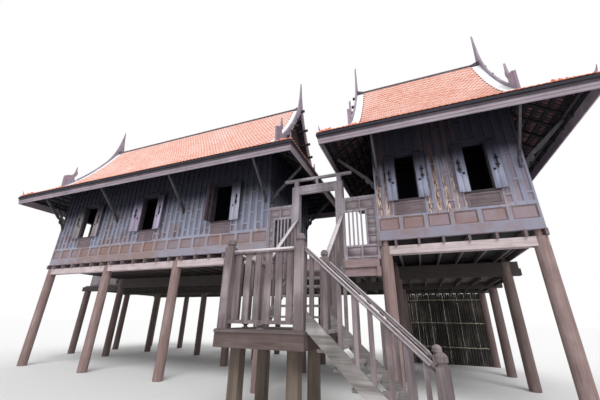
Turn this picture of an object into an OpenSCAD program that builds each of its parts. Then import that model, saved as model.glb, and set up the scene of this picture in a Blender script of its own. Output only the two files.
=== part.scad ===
// Stilt house: a long house and a short house of timber on tall round posts,
// joined by a gateway and a terrace, with a stair that turns on a landing.
// All sizes are in millimetres. The ground is z = 0 and the front faces -Y.

/* [Layout] */
// Distance between post centres along the front
bay = 3000; // [2400:50:3600]
// Number of bays in the long house
long_bays = 3; // [1:1:5]
// Distance between the facing posts of the two houses
gate_gap = 3220; // [2800:20:4000]
// Distance between the front and back posts of a house
house_depth = 3000; // [2400:50:3600]
// Distance between the post rows under the terrace
terrace_bay = 2200; // [1800:50:3600]
// How far the terrace runs out past the long house
wing = 2200; // [1500:50:3000]

/* [Posts and floors] */
// Diameter of a round post
post_d = 270; // [180:5:320]
// Diameter of the peg on top of a post
peg_d = 150; // [80:5:180]
// Underside of the house floor beams
beam_z = 3000; // [2000:20:3400]
// Height of a floor beam
beam_h = 190; // [120:5:260]
// Thickness of a floor beam board
beam_t = 60; // [40:5:90]
// Distance from the post centre to the outer face of a beam board
beam_out = 100; // [80:5:120]
// Height of the lower beam on the back posts of a house
ledger_h = 190; // [120:5:260]
// Height of a floor joist
joist_h = 140; // [90:5:180]
// Width of a floor joist
joist_w = 50; // [40:5:80]
// Number of joists in one bay
joist_count = 6; // [3:1:8]
// Thickness of the floor boards
floor_t = 35; // [20:1:50]
// Top of the terrace deck
terrace_z = 2920; // [2000:20:3300]
// Depth of the terrace edge board
edge_h = 180; // [120:5:240]
// Depth of a terrace beam
terrace_beam_h = 200; // [120:5:260]

/* [Walls] */
// Distance from the post centre to the outer face of a wall
wall_out = 120; // [100:5:160]
// Thickness of a wall with its frame
wall_t = 90; // [60:5:140]
// Thickness of the frame of stiles and rails on the outside of a wall
relief = 24; // [10:1:30]
// Height of the wall plate above the ground
wall_top = 6600; // [5600:20:7000]
// Height of the plain board along the foot of a wall
foot_board_h = 210; // [120:5:300]
// Height of the row of square panels
panel_h = 340; // [200:10:450]
// Number of square panels in one bay
panel_count = 6; // [4:1:8]
// Distance between the narrow upright panels
column_step = 210; // [120:5:260]
// Width of a stile between two narrow panels
stile_w = 90; // [40:2:120]
// Distance between the cross rails of a narrow panel
cross_step = 650; // [500:10:1200]

/* [Windows and doors] */
// Sill height above the ground
sill_z = 4300; // [3900:20:4700]
// Height of a window opening
window_h = 1180; // [800:10:1400]
// Width of a window in the long house
window_w = 600; // [500:10:1000]
// Width of a window in the short house
small_window_w = 440; // [400:10:600]
// Distance between the window centres of the short house
small_window_step = 1550; // [1300:10:1800]
// How far both windows of the short house are shifted to the left
small_window_shift = 75; // [0:5:150]
// Width of a window in an end wall
end_window_w = 500; // [400:10:600]
// Height of a window in an end wall
end_window_h = 990; // [800:10:1180]
// Distance between the window centres of an end wall
end_window_step = 1560; // [1500:10:1600]
// Width of a window frame or door frame
frame_w = 50; // [30:5:90]
// Thickness of a window shutter
shutter_t = 32; // [20:1:50]
// Width of a terrace door
door_w = 860; // [700:10:1100]
// Height of a terrace door
door_h = 1950; // [1700:10:2200]

/* [Roof] */
// Height of the ridge
ridge_z = 9210; // [8000:10:10000]
// Slope of the main roof at the ridge
ridge_slope = 1.89; // [1.2:0.01:2.2]
// How strongly the main roof flattens towards its foot, per metre
roof_sag = 0.245; // [0:0.005:0.3]
// Distance from the ridge line to the foot of the main roof
roof_reach = 1940; // [1700:10:2200]
// Upright thickness of the main roof
roof_t = 70; // [50:5:120]
// Overhang of the main roof past the end posts
verge_out = 380; // [200:10:600]
// How far the roof of the short house is shifted to the left
roof_shift = 150; // [0:10:250]
// Overhang of the main roof past the end posts of the short house
short_verge_out = 430; // [200:10:600]
// Width of the plastered band along a verge
verge_band = 220; // [120:10:300]
// Overhang of the skirt roof past the post centres
eave_out = 1290; // [800:10:1600]
// Top of the skirt roof at its edge
eave_z = 5850; // [5200:10:6400]
// Slope of the skirt roof
skirt_slope = 0.72; // [0.4:0.01:0.9]
// Upright thickness of the skirt roof
skirt_t = 70; // [40:5:120]
// Depth of the fascia board
fascia_h = 210; // [120:5:300]
// Thickness of a barge board
barge_t = 50; // [30:2:80]
// Height of the finial above the ridge
finial_h = 1140; // [600:10:1500]
// Distance between the rafters of a skirt roof
rafter_step = 500; // [300:10:800]
// Upright depth of a skirt rafter
rafter_h = 80; // [50:5:120]

/* [Gate] */
// Width of the gate opening
gate_w = 1030; // [800:10:1300]
// Side of a square gate post
gate_post = 200; // [120:5:260]
// Underside of the gate lintel
lintel_z = 4820; // [4500:10:5100]
// Depth of the gate lintel
lintel_h = 250; // [120:5:300]
// Height of the side panels and parapets above the deck
parapet_h = 1610; // [900:10:1800]

/* [Stairs] */
// Height of the landing deck
landing_z = 1440; // [1000:10:1800]
// Number of steps from the landing up to the terrace
upper_steps = 7; // [5:1:9]
// Depth of one upper step
upper_going = 233; // [200:1:280]
// Number of steps from the ground up to the landing
lower_steps = 7; // [5:1:9]
// Depth of one lower step
lower_going = 219; // [200:1:280]
// Side of a square newel post
newel = 150; // [100:5:180]
// Height of a newel above the landing
newel_h = 1385; // [900:5:1500]
// Height of the balustrade rail above the landing
rail_h = 1170; // [800:5:1300]
// Thickness of a stair stringer
stringer_t = 50; // [35:1:70]
// Thickness of a stair tread
tread_t = 40; // [30:1:60]

/* [Hidden] */
$fn = 32;

// Post lines of the two houses, seen from the front
long_x0 = -bay * long_bays;
long_x1 = 0;
short_x0 = gate_gap;
short_x1 = gate_gap + bay;
short_mid = (short_x0 + short_x1) / 2;
wing_x = long_x0 - wing;
row_1 = house_depth;
row_2 = row_1 + terrace_bay;
row_3 = row_2 + terrace_bay;

// Faces of the walls
wall_in = wall_out - wall_t;
core_out = wall_out - relief;

// Levels
joist_z = beam_z + beam_h;
wall_z = joist_z + joist_h;
panel_z = wall_z + foot_board_h;
column_z = panel_z + panel_h + 40;
ledger_z = beam_z - ledger_h - 2;
terrace_joist_z = terrace_z - edge_h;
terrace_beam_z = terrace_z - floor_t - terrace_beam_h;
window_top = sill_z + window_h;
end_window_top = sill_z + end_window_h;

// The ridge lines and the ends of the main roofs
ridge_y = house_depth / 2;
long_roof_x0 = long_x0 - verge_out;
long_roof_x1 = long_x1 + verge_out;
short_roof_x0 = short_x0 - short_verge_out - roof_shift;
short_roof_x1 = short_x1 + short_verge_out - roof_shift;
purlin_w = 60;
purlin_h = 80;
purlin_lines = [360, 640, 920, 1200, 1480];
purlin_stub = 140;
ridge_beam_z = ridge_z - roof_t - 1.6 * purlin_h;

// The stair hangs on the middle of the gate
gate_x = 1555;
gate_post_in = gate_w / 2;
gate_post_out = gate_w / 2 + gate_post;
newel_x0 = 1010;
newel_x1 = 2240;
newel_y0 = -3000;
newel_y1 = -1760;
landing_y1 = -1500;
landing_edge = newel / 2 + 20;
upper_rise = (terrace_z - landing_z) / upper_steps;
upper_slope = upper_rise / upper_going;
lower_rise = landing_z / lower_steps;
lower_slope = lower_rise / lower_going;
low_newel_x = 3960;
low_newel_h = 1275;

// The origin is under the middle of the whole house
mid_x = (wing_x - 300 + short_x1 + eave_out) / 2;
mid_y = (newel_y0 - landing_edge - 10 + row_3 + 130) / 2;

// Half the outer width of a window frame, and the middles of the windows and
// doors of each wall
window_half = window_w / 2 + frame_w;
long_windows = [for (i = [0 : long_bays - 1]) long_x0 + (i + 0.5) * bay];
short_windows = [for (s = [-0.5, 0.5]) short_mid - small_window_shift + s * small_window_step];
end_windows = [for (s = [-0.5, 0.5]) ridge_y + s * end_window_step];
long_door = long_x0 + (floor(long_bays / 2) + 0.5) * bay;
long_back_windows = [for (x = long_windows) if (x != long_door) x];

wood_dark = [0.26, 0.19, 0.17];
wood_red = [0.36, 0.22, 0.18];
wood_post = [0.42, 0.32, 0.30];
wood_pale = [0.62, 0.54, 0.50];
wood_grey = [0.45, 0.40, 0.38];
tile_main = [0.86, 0.47, 0.33];
tile_edge = [0.92, 0.45, 0.20];
plaster = [0.90, 0.90, 0.90];

// Moves the house so that the origin lies under its middle.
module sited() {
    translate([-mid_x, -mid_y, 0])
        children();
}

// A box between two corners.
module block(x0, x1, y0, y1, z0, z1) {
    translate([x0, y0, z0])
        cube([x1 - x0, y1 - y0, z1 - z0]);
}

// Extrudes a shape drawn in Y and Z along X, from x0 to x1.
module along_x(x0, x1) {
    translate([x0, 0, 0])
        rotate([90, 0, 90])
            linear_extrude(x1 - x0)
                children();
}

// Extrudes a shape drawn in X and Z along Y, from y0 to y1.
module along_y(y0, y1) {
    translate([0, y1, 0])
        rotate([90, 0, 0])
            linear_extrude(y1 - y0)
                children();
}

// Turns what is drawn at the front of a house to its back.
module to_back() {
    translate([0, house_depth, 0])
        mirror([0, 1, 0])
            children();
}

// What is drawn at the front, at the front and at the back.
module front_and_back() {
    children();
    to_back()
        children();
}

// Turns what is drawn at the front to the left end or the right end of a house,
// whose end posts stand at x.
module to_left_end(x) {
    translate([x, house_depth, 0])
        rotate([0, 0, -90])
            children();
}

module to_right_end(x) {
    translate([x, 0, 0])
        rotate([0, 0, 90])
            children();
}

// Height of the upper face of the main roof at a distance from the ridge line.
function roof_z(d) = ridge_z - ridge_slope * d + roof_sag * d * d / 1000;

// Posts, beams and floors

// Two beam boards that hold a row of posts between them.
module beam_pair(x0, x1, y, z, h) {
    block(x0, x1, y - beam_out, y - beam_out + beam_t, z, z + h);
    block(x0, x1, y + beam_out - beam_t, y + beam_out, z, z + h);
}

// One round post, housed for its beams from the level z up, whose peg rises to
// the wall.
module house_post(x, y, z) {
    difference() {
        translate([x, y, 0]) {
            cylinder(d = post_d, h = joist_z);
            cylinder(d = peg_d, h = wall_z);
        }
        beam_pair(x - 400, x + 400, y, z, joist_z - z);
    }
}

module house_posts() {
    color(wood_post)
        sited()
            for (row = [[0, beam_z], [row_1, ledger_z]]) {
                for (i = [0 : long_bays])
                    house_post(long_x0 + i * bay, row[0], row[1]);
                house_post(short_x0, row[0], row[1]);
                house_post(short_x1, row[0], row[1]);
            }
}

// One round post under the terrace, whose beams lie on its top.
module terrace_post(x, y) {
    translate([x, y, 0])
        cylinder(d = post_d, h = terrace_beam_z);
}

module terrace_posts() {
    color(wood_post)
        sited() {
            terrace_post(wing_x, row_1);
            for (y = [row_2, row_3]) {
                terrace_post(wing_x, y);
                for (i = [0 : long_bays])
                    terrace_post(long_x0 + i * bay, y);
                terrace_post(short_x0, y);
                terrace_post(short_x1, y);
            }
        }
}

module floor_beams() {
    front = 100;
    back = 300;
    color(wood_pale)
        sited() {
            beam_pair(long_x0 - front, long_x1 + front, 0, beam_z, beam_h);
            beam_pair(short_x0 - front, short_x1 + front, 0, beam_z, beam_h);
            beam_pair(long_x0 - back, long_x1 + back, row_1, beam_z, beam_h);
            beam_pair(short_x0 - back, short_x1 + back, row_1, beam_z, beam_h);
            beam_pair(long_x0 - 130, long_x1 + 130, row_1, ledger_z, ledger_h);
            beam_pair(short_x0 - 130, short_x1 + back + 40, row_1, ledger_z, ledger_h);
        }
}

// The edge board and the beams of the passage between the houses, with a boxed
// end on the right.
module passage_beams() {
    x0 = long_x1 + post_d / 2;
    x1 = short_x0 - post_d / 2;
    z0 = terrace_joist_z - terrace_beam_h;
    color(wood_post)
        sited() {
            block(x0 + 20, x1 - 20, -120, -70, terrace_joist_z, terrace_z);
            block(x0, x1 - 90, -75, -20, z0, terrace_joist_z);
            block(x1 - 90, x1, -118, -2, z0 - 15, terrace_joist_z);
            block(x0, x1, row_1 - 40, row_1 + 40, z0, terrace_joist_z);
        }
}

module terrace_beams() {
    color(wood_pale)
        sited() {
            for (y = [row_2, row_3])
                beam_pair(wing_x - 300, short_x1 + 300, y, terrace_beam_z, terrace_beam_h);
            beam_pair(wing_x - 300, long_x0 - post_d / 2 - 5, row_1, terrace_beam_z, terrace_beam_h);
        }
}

// Joists of one house, even in each bay, with one beside each end wall. Their
// ends stand out past the front wall.
module joists(x0, bays) {
    step = bay / joist_count;
    end = 95;
    middles = concat(
        [x0 - end],
        [for (i = [0 : bays * joist_count - 1]) x0 + (i + 0.5) * step],
        [x0 + bays * bay + end]
    );
    for (x = middles)
        block(x - joist_w / 2, x + joist_w / 2, -wall_out - 45, house_depth + wall_out - 2,
              joist_z, wall_z);
}

module floor_joists() {
    color(wood_dark)
        sited() {
            joists(long_x0, long_bays);
            joists(short_x0, 1);
        }
}

module terrace_joists() {
    z0 = terrace_joist_z;
    z1 = terrace_z - floor_t;
    y0 = row_1 + wall_out + 10;
    clear = beam_out + 5;
    step = 500;
    color(wood_dark)
        sited() {
            for (s = [[y0, row_2 - clear], [row_2 + clear, row_3 - clear]]) {
                for (x = [wing_x + 250 : step : short_x1])
                    block(x, x + joist_w, s[0], s[1], z0, z1);
                for (x = [wing_x - 130, short_x1 + 90])
                    block(x, x + 40, s[0], s[1], z0, z1);
            }
            for (x = [long_x1 + 330 : step : short_x0 - 200])
                block(x, x + joist_w, -60, y0 - 20, z0, z1);
            block(wing_x - 130, short_x1 + 130, row_3 + clear, row_3 + clear + 25, z0, z1);
        }
}

module house_floors() {
    color(wood_dark)
        sited() {
            for (x = [[long_x0, long_x1], [short_x0, short_x1]])
                block(x[0] - wall_in + 1, x[1] + wall_in - 1, 1 - wall_in,
                      house_depth + wall_in - 1, wall_z, wall_z + floor_t);
        }
}

module terrace_deck() {
    z0 = terrace_z - floor_t;
    color(wood_grey)
        sited()
            difference() {
                union() {
                    block(wing_x - 130, short_x1 + 130, row_1 + wall_out + 5, row_3 + 130, z0, terrace_z);
                    block(wing_x - 130, long_x0 - 150, row_1 - beam_out, row_3, z0, terrace_z);
                    block(long_x1 + post_d / 2 + 20, short_x0 - post_d / 2 - 20, -70, row_2, z0, terrace_z);
                }
                for (x = concat([for (i = [0 : long_bays]) long_x0 + i * bay], [short_x0, short_x1]))
                    translate([x, row_1, z0 - 5])
                        cylinder(d = post_d + 10, h = floor_t + 10);
            }
}

// Boards that close the step between the terrace and the back walls.
module riser_boards() {
    y0 = row_1 + post_d / 2 + 2;
    color(wood_dark)
        sited() {
            block(long_x0 - wall_out, long_x1 + wall_out, y0, y0 + 25, terrace_z, wall_z + 40);
            block(short_x0 - wall_out, short_x1 + wall_out, y0, y0 + 25, terrace_z, wall_z + 40);
        }
}

// Walls

// The hole for a window with its frame, centred on x, below the level head.
module window_hole(x, head) {
    block(x - window_half, x + window_half, -wall_out - 5, -wall_in + 5,
          sill_z - frame_w, head + frame_w);
}

// The hole for a door with its frame, centred on x.
module door_hole(x) {
    block(x - door_w / 2 - frame_w, x + door_w / 2 + frame_w, -wall_out - 5, -wall_in + 5,
          panel_z, panel_z + door_h + frame_w);
}

// The board core of a long wall from x0 to x1.
module wall_core(x0, x1) {
    block(x0 - core_out, x1 + core_out, -core_out, -wall_in, wall_z, wall_top);
}

module left_front_wall() {
    color(wood_red)
        sited()
            difference() {
                wall_core(long_x0, long_x1);
                for (x = long_windows)
                    window_hole(x, window_top);
            }
}

module right_front_wall() {
    color(wood_red)
        sited()
            difference() {
                wall_core(short_x0, short_x1);
                for (x = short_windows)
                    window_hole(x, window_top);
            }
}

module left_back_wall() {
    color(wood_red)
        sited()
            to_back()
                difference() {
                    wall_core(long_x0, long_x1);
                    door_hole(long_door);
                    for (x = long_back_windows)
                        window_hole(x, window_top);
                }
}

module right_back_wall() {
    color(wood_red)
        sited()
            to_back()
                difference() {
                    wall_core(short_x0, short_x1);
                    door_hole(short_mid);
                }
}

// The cores of the two end walls of a house, between its long walls.
module end_walls(x0, x1) {
    for (s = [[x0 - core_out, x0 - wall_in], [x1 + wall_in, x1 + core_out]])
        block(s[0], s[1], -wall_in, house_depth + wall_in, wall_z, wall_top);
}

module left_end_walls() {
    color(wood_red)
        sited()
            difference() {
                end_walls(long_x0, long_x1);
                to_left_end(long_x0)
                    for (x = end_windows)
                        window_hole(x, end_window_top);
            }
}

module right_end_walls() {
    color(wood_red)
        sited()
            difference() {
                end_walls(short_x0, short_x1);
                to_right_end(short_x1)
                    for (x = end_windows)
                        window_hole(x, end_window_top);
            }
}

// Narrow upright panels between a and b, each broken by cross rails whose
// heights alternate from one panel to the next.
module columns(a, b, z0, z1) {
    count = max(1, round((b - a) / column_step));
    step = (b - a) / count;
    for (i = [0 : count - 1])
        difference() {
            block(a + i * step + stile_w / 2, a + (i + 1) * step - stile_w / 2,
                  -wall_out - 1, -core_out + 1, z0 + 30, z1 - 40);
            for (z = [column_z + 200 + (i % 2) * cross_step / 2 : cross_step : z1])
                block(a + i * step, a + (i + 1) * step, -wall_out - 2, -core_out + 2, z, z + 45);
        }
}

// The frame of stiles and rails on a wall from x0 to x1. Each zone is left
// free for a window or a door: its middle, half its width, foot and head.
module wall_frame(x0, x1, zones) {
    squares = round((x1 - x0) / bay * panel_count);
    step = (x1 - x0) / squares;
    edges = concat([x0], [for (q = zones) each [q[0] - q[1], q[0] + q[1]]], [x1]);
    difference() {
        block(x0, x1, -wall_out, -core_out, wall_z, wall_top);
        for (i = [0 : squares - 1]) {
            middle = x0 + (i + 0.5) * step;
            doors = [for (q = zones) if (q[2] < column_z && abs(middle - q[0]) < q[1] + step / 2) 1];
            if (len(doors) == 0)
                block(middle - step / 2 + 45, middle + step / 2 - 45, -wall_out - 1, -core_out + 1,
                      panel_z + 25, panel_z + panel_h - 20);
        }
        for (k = [0 : len(zones)])
            columns(edges[2 * k], edges[2 * k + 1], column_z, wall_top);
        for (q = zones) {
            block(q[0] - q[1], q[0] + q[1], -wall_out - 1, -core_out + 1, q[2], q[3]);
            columns(q[0] - q[1], q[0] + q[1], q[3], wall_top);
        }
    }
}

// Zones of windows, from their aprons up, and of a door.
function window_zones(xs, head) = [for (x = xs) [x, window_half, column_z, head + frame_w]];
function door_zone(x) = [x, door_w / 2 + frame_w, panel_z, panel_z + door_h + frame_w];

// The frames on the two end walls of a house, each with its zones.
module end_wall_frames(x0, x1, left, right) {
    to_left_end(x0)
        wall_frame(2 - core_out, house_depth + core_out - 2, left);
    to_right_end(x1)
        wall_frame(2 - core_out, house_depth + core_out - 2, right);
}

module left_wall_frames() {
    x0 = long_x0 - wall_out;
    x1 = long_x1 + wall_out;
    left = window_zones([for (x = long_back_windows) if (x < long_door) x], window_top);
    right = window_zones([for (x = long_back_windows) if (x > long_door) x], window_top);
    color(wood_dark)
        sited() {
            wall_frame(x0, x1, window_zones(long_windows, window_top));
            to_back()
                wall_frame(x0, x1, concat(left, [door_zone(long_door)], right));
            end_wall_frames(long_x0, long_x1, window_zones(end_windows, end_window_top), []);
        }
}

module right_wall_frames() {
    x0 = short_x0 - wall_out;
    x1 = short_x1 + wall_out;
    color(wood_dark)
        sited() {
            wall_frame(x0, x1, window_zones(short_windows, window_top));
            to_back()
                wall_frame(x0, x1, [door_zone(short_mid)]);
            end_wall_frames(short_x0, short_x1, [], window_zones(end_windows, end_window_top));
        }
}

// A frame that lines a window hole and leaves the clear width w, with a ledge
// that shelters it.
module window_frame(x, w, head) {
    y0 = -wall_out - 22;
    half = window_half;
    top = head + frame_w;
    difference() {
        block(x - half, x + half, y0, -wall_in, sill_z - frame_w, top);
        block(x - w / 2, x + w / 2, y0 - 5, -wall_in + 5, sill_z, head);
    }
    along_y(-wall_out - 75, -wall_out - 5)
        polygon([
            [x - half - 60, top],
            [x - half - 20, top + 55],
            [x + half + 20, top + 55],
            [x + half + 60, top]
        ]);
}

// A frame that lines a door hole.
module door_frame(x) {
    y0 = -wall_out - 22;
    half = door_w / 2 + frame_w;
    difference() {
        block(x - half, x + half, y0, -wall_in, panel_z, panel_z + door_h + frame_w);
        block(x - door_w / 2, x + door_w / 2, y0 - 5, -wall_in + 5, panel_z - 5, panel_z + door_h);
    }
}

// What is drawn for the windows of an end wall, at the outer end of each house.
module at_outer_ends() {
    to_left_end(long_x0)
        children();
    to_right_end(short_x1)
        children();
}

module window_frames() {
    color(wood_grey)
        sited() {
            at_outer_ends()
                for (x = end_windows)
                    window_frame(x, end_window_w, end_window_top);
            for (x = long_windows)
                window_frame(x, window_w, window_top);
            for (x = short_windows)
                window_frame(x, small_window_w, window_top);
            to_back() {
                for (x = long_back_windows)
                    window_frame(x, window_w, window_top);
                door_frame(long_door);
                door_frame(short_mid);
            }
        }
}

// The board under a window, with a raised border round its carving.
module apron(x) {
    half = window_half - 2;
    z0 = column_z + 4;
    z1 = sill_z - frame_w - 4;
    difference() {
        block(x - half, x + half, -wall_out - 12, -core_out, z0, z1);
        block(x - half + 60, x + half - 60, -wall_out - 13, -wall_out + 6, z0 + 50, z1 - 50);
    }
}

module window_aprons() {
    color(wood_red)
        sited() {
            at_outer_ends()
                for (x = end_windows)
                    apron(x);
            for (x = concat(long_windows, short_windows))
                apron(x);
            to_back()
                for (x = long_back_windows)
                    apron(x);
        }
}

// One shutter, swung out by an angle from shut. It is as wide as the distance
// from the hinge to the middle x of the window, and hangs below the level head.
// Side is -1 for the left leaf and 1 for the right leaf.
module shutter(x, hinge, head, side, angle) {
    translate([x + side * hinge, -wall_out - 24, 0])
        rotate([0, 0, side * angle])
            block(side > 0 ? 1 - hinge : 2, side > 0 ? -2 : hinge - 1, 2, shutter_t + 2,
                  sill_z - 25, head + 20);
}

// Both shutters of a window, each with its angle.
module shutter_pair(x, hinge, head, left, right) {
    shutter(x, hinge, head, -1, left);
    shutter(x, hinge, head, 1, right);
}

module window_shutters() {
    long_hinge = window_w / 2 + 38;
    short_hinge = small_window_w / 2 + 18;
    long_angles = [[176, 176], [168, 170], [96, 174]];
    short_angles = [[177, 177], [176, 174]];
    color(wood_grey)
        sited() {
            at_outer_ends()
                for (x = end_windows)
                    shutter_pair(x, end_window_w / 2 + 38, end_window_top, 172, 172);
            for (i = [0 : long_bays - 1])
                shutter_pair(long_windows[i], long_hinge, window_top,
                             long_angles[i % 3][0], long_angles[i % 3][1]);
            for (i = [0, 1])
                shutter_pair(short_windows[i], short_hinge, window_top,
                             short_angles[i][0], short_angles[i][1]);
            to_back()
                for (x = long_back_windows)
                    shutter_pair(x, long_hinge, window_top, 172, 172);
        }
}

// Roofs

// The space under a main roof, as a shape in Y and Z lowered by drop.
module under_roof(drop, base) {
    steps = 12;
    offsets = [for (i = [-steps : steps]) roof_reach * i / steps];
    polygon(concat(
        [[ridge_y - roof_reach, base]],
        [for (d = offsets) [ridge_y + d, roof_z(abs(d)) - drop]],
        [[ridge_y + roof_reach, base]]
    ));
}

// What the long sides of a skirt roof fill, as a shape in Y and Z.
module skirt_section() {
    for (s = [-1, 1])
        translate([ridge_y, 0])
            scale([s, 1])
                polygon([
                    [ridge_y + wall_out, skirt_top(eave_out - wall_out) + 2],
                    [ridge_y + eave_out, skirt_top(0) + 2],
                    [ridge_y + eave_out, eave_z - 400],
                    [ridge_y + wall_out, eave_z - 400]
                ]);
}

// The shell of a main roof, whose foot rests on the skirt roof.
module main_roof(x0, x1) {
    foot = roof_z(roof_reach) - roof_t;
    along_x(x0, x1)
        difference() {
            under_roof(0, foot);
            under_roof(roof_t, foot - roof_t);
            skirt_section();
        }
}

module left_main_roof() {
    color(tile_main)
        sited()
            main_roof(long_roof_x0, long_roof_x1);
}

module right_main_roof() {
    color(tile_main)
        sited()
            main_roof(short_roof_x0, short_roof_x1);
}

// The ridge beam and the purlins of a main roof, which stand out at both ends.
module purlins(x0, x1) {
    a = x0 - barge_t - purlin_stub;
    b = x1 + barge_t + purlin_stub;
    block(a, b, ridge_y - purlin_w / 2, ridge_y + purlin_w / 2, ridge_beam_z, ridge_beam_z + purlin_h);
    for (s = [-1, 1])
        for (d = purlin_lines)
            block(a, b, ridge_y + s * d - purlin_w / 2, ridge_y + s * d + purlin_w / 2,
                  purlin_top(d) - purlin_h, purlin_top(d));
}

// Top of the purlin at a distance from the ridge line, under the roof shell.
function purlin_top(d) = roof_z(d + purlin_w / 2) - roof_t - 2;

module roof_purlins() {
    color(wood_dark)
        sited() {
            purlins(long_roof_x0, long_roof_x1);
            purlins(short_roof_x0, short_roof_x1);
        }
}

// The gable walls of a house, from the wall plate up to the roof.
module gable_walls(x0, x1) {
    for (x = [x0 - wall_out, x1 + wall_out - 60])
        along_x(x, x + 60)
            intersection() {
                under_roof(roof_t + 2, wall_top);
                translate([-wall_out, wall_top])
                    square([house_depth + 2 * wall_out, ridge_z - wall_top]);
            }
}

module gables() {
    color(wood_dark)
        sited()
            difference() {
                union() {
                    gable_walls(long_x0, long_x1);
                    gable_walls(short_x0, short_x1);
                }
                purlins(long_roof_x0, long_roof_x1);
                purlins(short_roof_x0, short_roof_x1);
            }
}

// What carries the purlins over one post line: a tie beam between the walls,
// a king post and two curved rafters.
module truss(x) {
    half = 40;
    steps = 10;
    inner = 47;
    outer = ridge_y - wall_in - 2;
    drop = roof_t + purlin_h + 6;
    offsets = [for (i = [0 : steps]) inner + (outer - inner) * i / steps];
    block(x - half, x + half, wall_in + 2, house_depth - wall_in - 2, wall_top - 140, wall_top);
    block(x - 45, x + 45, ridge_y - 45, ridge_y + 45, wall_top + 2, ridge_beam_z - 2);
    along_x(x - half, x + half)
        for (s = [-1, 1])
            polygon(concat(
                [for (d = offsets) [ridge_y + s * d, roof_z(d) - drop]],
                [[ridge_y + s * outer, wall_top + 2], [ridge_y + s * (outer - 120), wall_top + 2]],
                [for (i = [steps - 1 : -1 : 0]) [ridge_y + s * offsets[i], roof_z(offsets[i]) - drop - 150]]
            ));
}

module roof_trusses() {
    end = 72;
    color(wood_dark)
        sited() {
            for (i = [0 : long_bays])
                truss(long_x0 + i * bay + (i == 0 ? end : i == long_bays ? -end : 0));
            truss(short_x0 + end);
            truss(short_x1 - end);
        }
}

// Height of the upper and under face of a skirt roof at a distance in from its edge.
function skirt_top(run) = eave_z + run * skirt_slope;
function skirt_under(run) = skirt_top(run) - skirt_t;

// One side of a skirt roof, mitred at both hips: its length along X between
// the corners x0 and x1, its outer edge at Y = 0 and its run inwards.
module skirt_side(x0, x1, run) {
    gap = 2;
    intersection() {
        along_x(x0, x1)
            polygon([
                [0, skirt_top(0)],
                [run, skirt_top(run)],
                [run, skirt_under(run)],
                [0, skirt_under(0)]
            ]);
        translate([0, 0, eave_z - skirt_t - 10])
            linear_extrude(run * skirt_slope + skirt_t + 20)
                polygon([
                    [x0 + gap, 0],
                    [x0 + gap + run, run],
                    [x1 - gap - run, run],
                    [x1 - gap, 0]
                ]);
    }
}

// Four copies of a side that is drawn for the front and for the left end, set
// round a house. The first child is the long side, the second the short side.
module round_house(x0, x1) {
    y0 = -eave_out;
    y1 = house_depth + eave_out;
    translate([0, y0, 0])
        children(0);
    translate([0, y1, 0])
        mirror([0, 1, 0])
            children(0);
    translate([x0 - eave_out, 0, 0])
        rotate([0, 0, 90])
            mirror([0, 1, 0])
                children(1);
    translate([x1 + eave_out, 0, 0])
        rotate([0, 0, 90])
            children(1);
}

// The skirt roof round a house, as four sides that meet at the hips.
module skirt_roof(x0, x1) {
    run = eave_out - wall_out;
    round_house(x0, x1) {
        skirt_side(x0 - eave_out, x1 + eave_out, run);
        skirt_side(-eave_out, house_depth + eave_out, run);
    }
}

module left_skirt_roof() {
    color(tile_edge)
        sited()
            skirt_roof(long_x0, long_x1);
}

module right_skirt_roof() {
    color(tile_edge)
        sited()
            skirt_roof(short_x0, short_x1);
}

// One side of a fascia: three boards, each set back behind the one above.
module fascia_side(x0, x1) {
    back = 75;
    strip = fascia_h / 3;
    for (i = [0 : 2]) {
        front = 30 + i * 9;
        top = i == 0 ? skirt_under(front) - 1 : eave_z - skirt_t - i * strip;
        intersection() {
            block(x0, x1, front, back, eave_z - skirt_t - (i + 1) * strip, top);
            translate([0, 0, eave_z - skirt_t - fascia_h])
                linear_extrude(fascia_h + skirt_t)
                    polygon([[x0 + 2, 0], [x0 + 202, 200], [x1 - 202, 200], [x1 - 2, 0]]);
        }
    }
}

// The fascia round a house.
module fascia(x0, x1) {
    round_house(x0, x1) {
        fascia_side(x0 - eave_out, x1 + eave_out);
        fascia_side(-eave_out, house_depth + eave_out);
    }
}

module fascias() {
    color(wood_grey)
        sited() {
            fascia(long_x0, long_x1);
            fascia(short_x0, short_x1);
        }
}

// Rafters under one side of a skirt roof, from a to b, between the wall and
// the fascia.
module rafter_row(a, b) {
    count = round((b - a) / rafter_step);
    step = (b - a) / count;
    inner = eave_out - wall_out - 2;
    for (i = [0 : count]) {
        x = min(max(a + i * step, a + 30), b - 30);
        along_x(x - 22, x + 22)
            polygon([
                [80, skirt_under(80) - 1],
                [inner, skirt_under(inner) - 1],
                [inner, skirt_under(inner) - rafter_h],
                [80, skirt_under(80) - rafter_h]
            ]);
    }
}

// One hip rafter, drawn from the corner of the eaves along the diagonal.
module hip_rafter() {
    near = 150;
    far = (eave_out - wall_out) * sqrt(2) - 40;
    along_x(-30, 30)
        polygon([
            [near, skirt_under((near - 30) / sqrt(2)) - 2],
            [far, skirt_under((far - 30) / sqrt(2)) - 2],
            [far, skirt_under((far - 30) / sqrt(2)) - rafter_h],
            [near, skirt_under((near - 30) / sqrt(2)) - rafter_h]
        ]);
}

// The rafters of the skirt roof round one house.
module rafters(x0, x1) {
    round_house(x0, x1) {
        rafter_row(x0 - wall_out, x1 + wall_out);
        rafter_row(-wall_out, house_depth + wall_out);
    }
    for (c = [
        [x0 - eave_out, -eave_out, -45],
        [x1 + eave_out, -eave_out, 45],
        [x1 + eave_out, house_depth + eave_out, 135],
        [x0 - eave_out, house_depth + eave_out, -135]
    ])
        translate([c[0], c[1], 0])
            rotate([0, 0, c[2]])
                hip_rafter();
}

module skirt_rafters() {
    color(wood_dark)
        sited() {
            rafters(long_x0, long_x1);
            rafters(short_x0, short_x1);
        }
}

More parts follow.
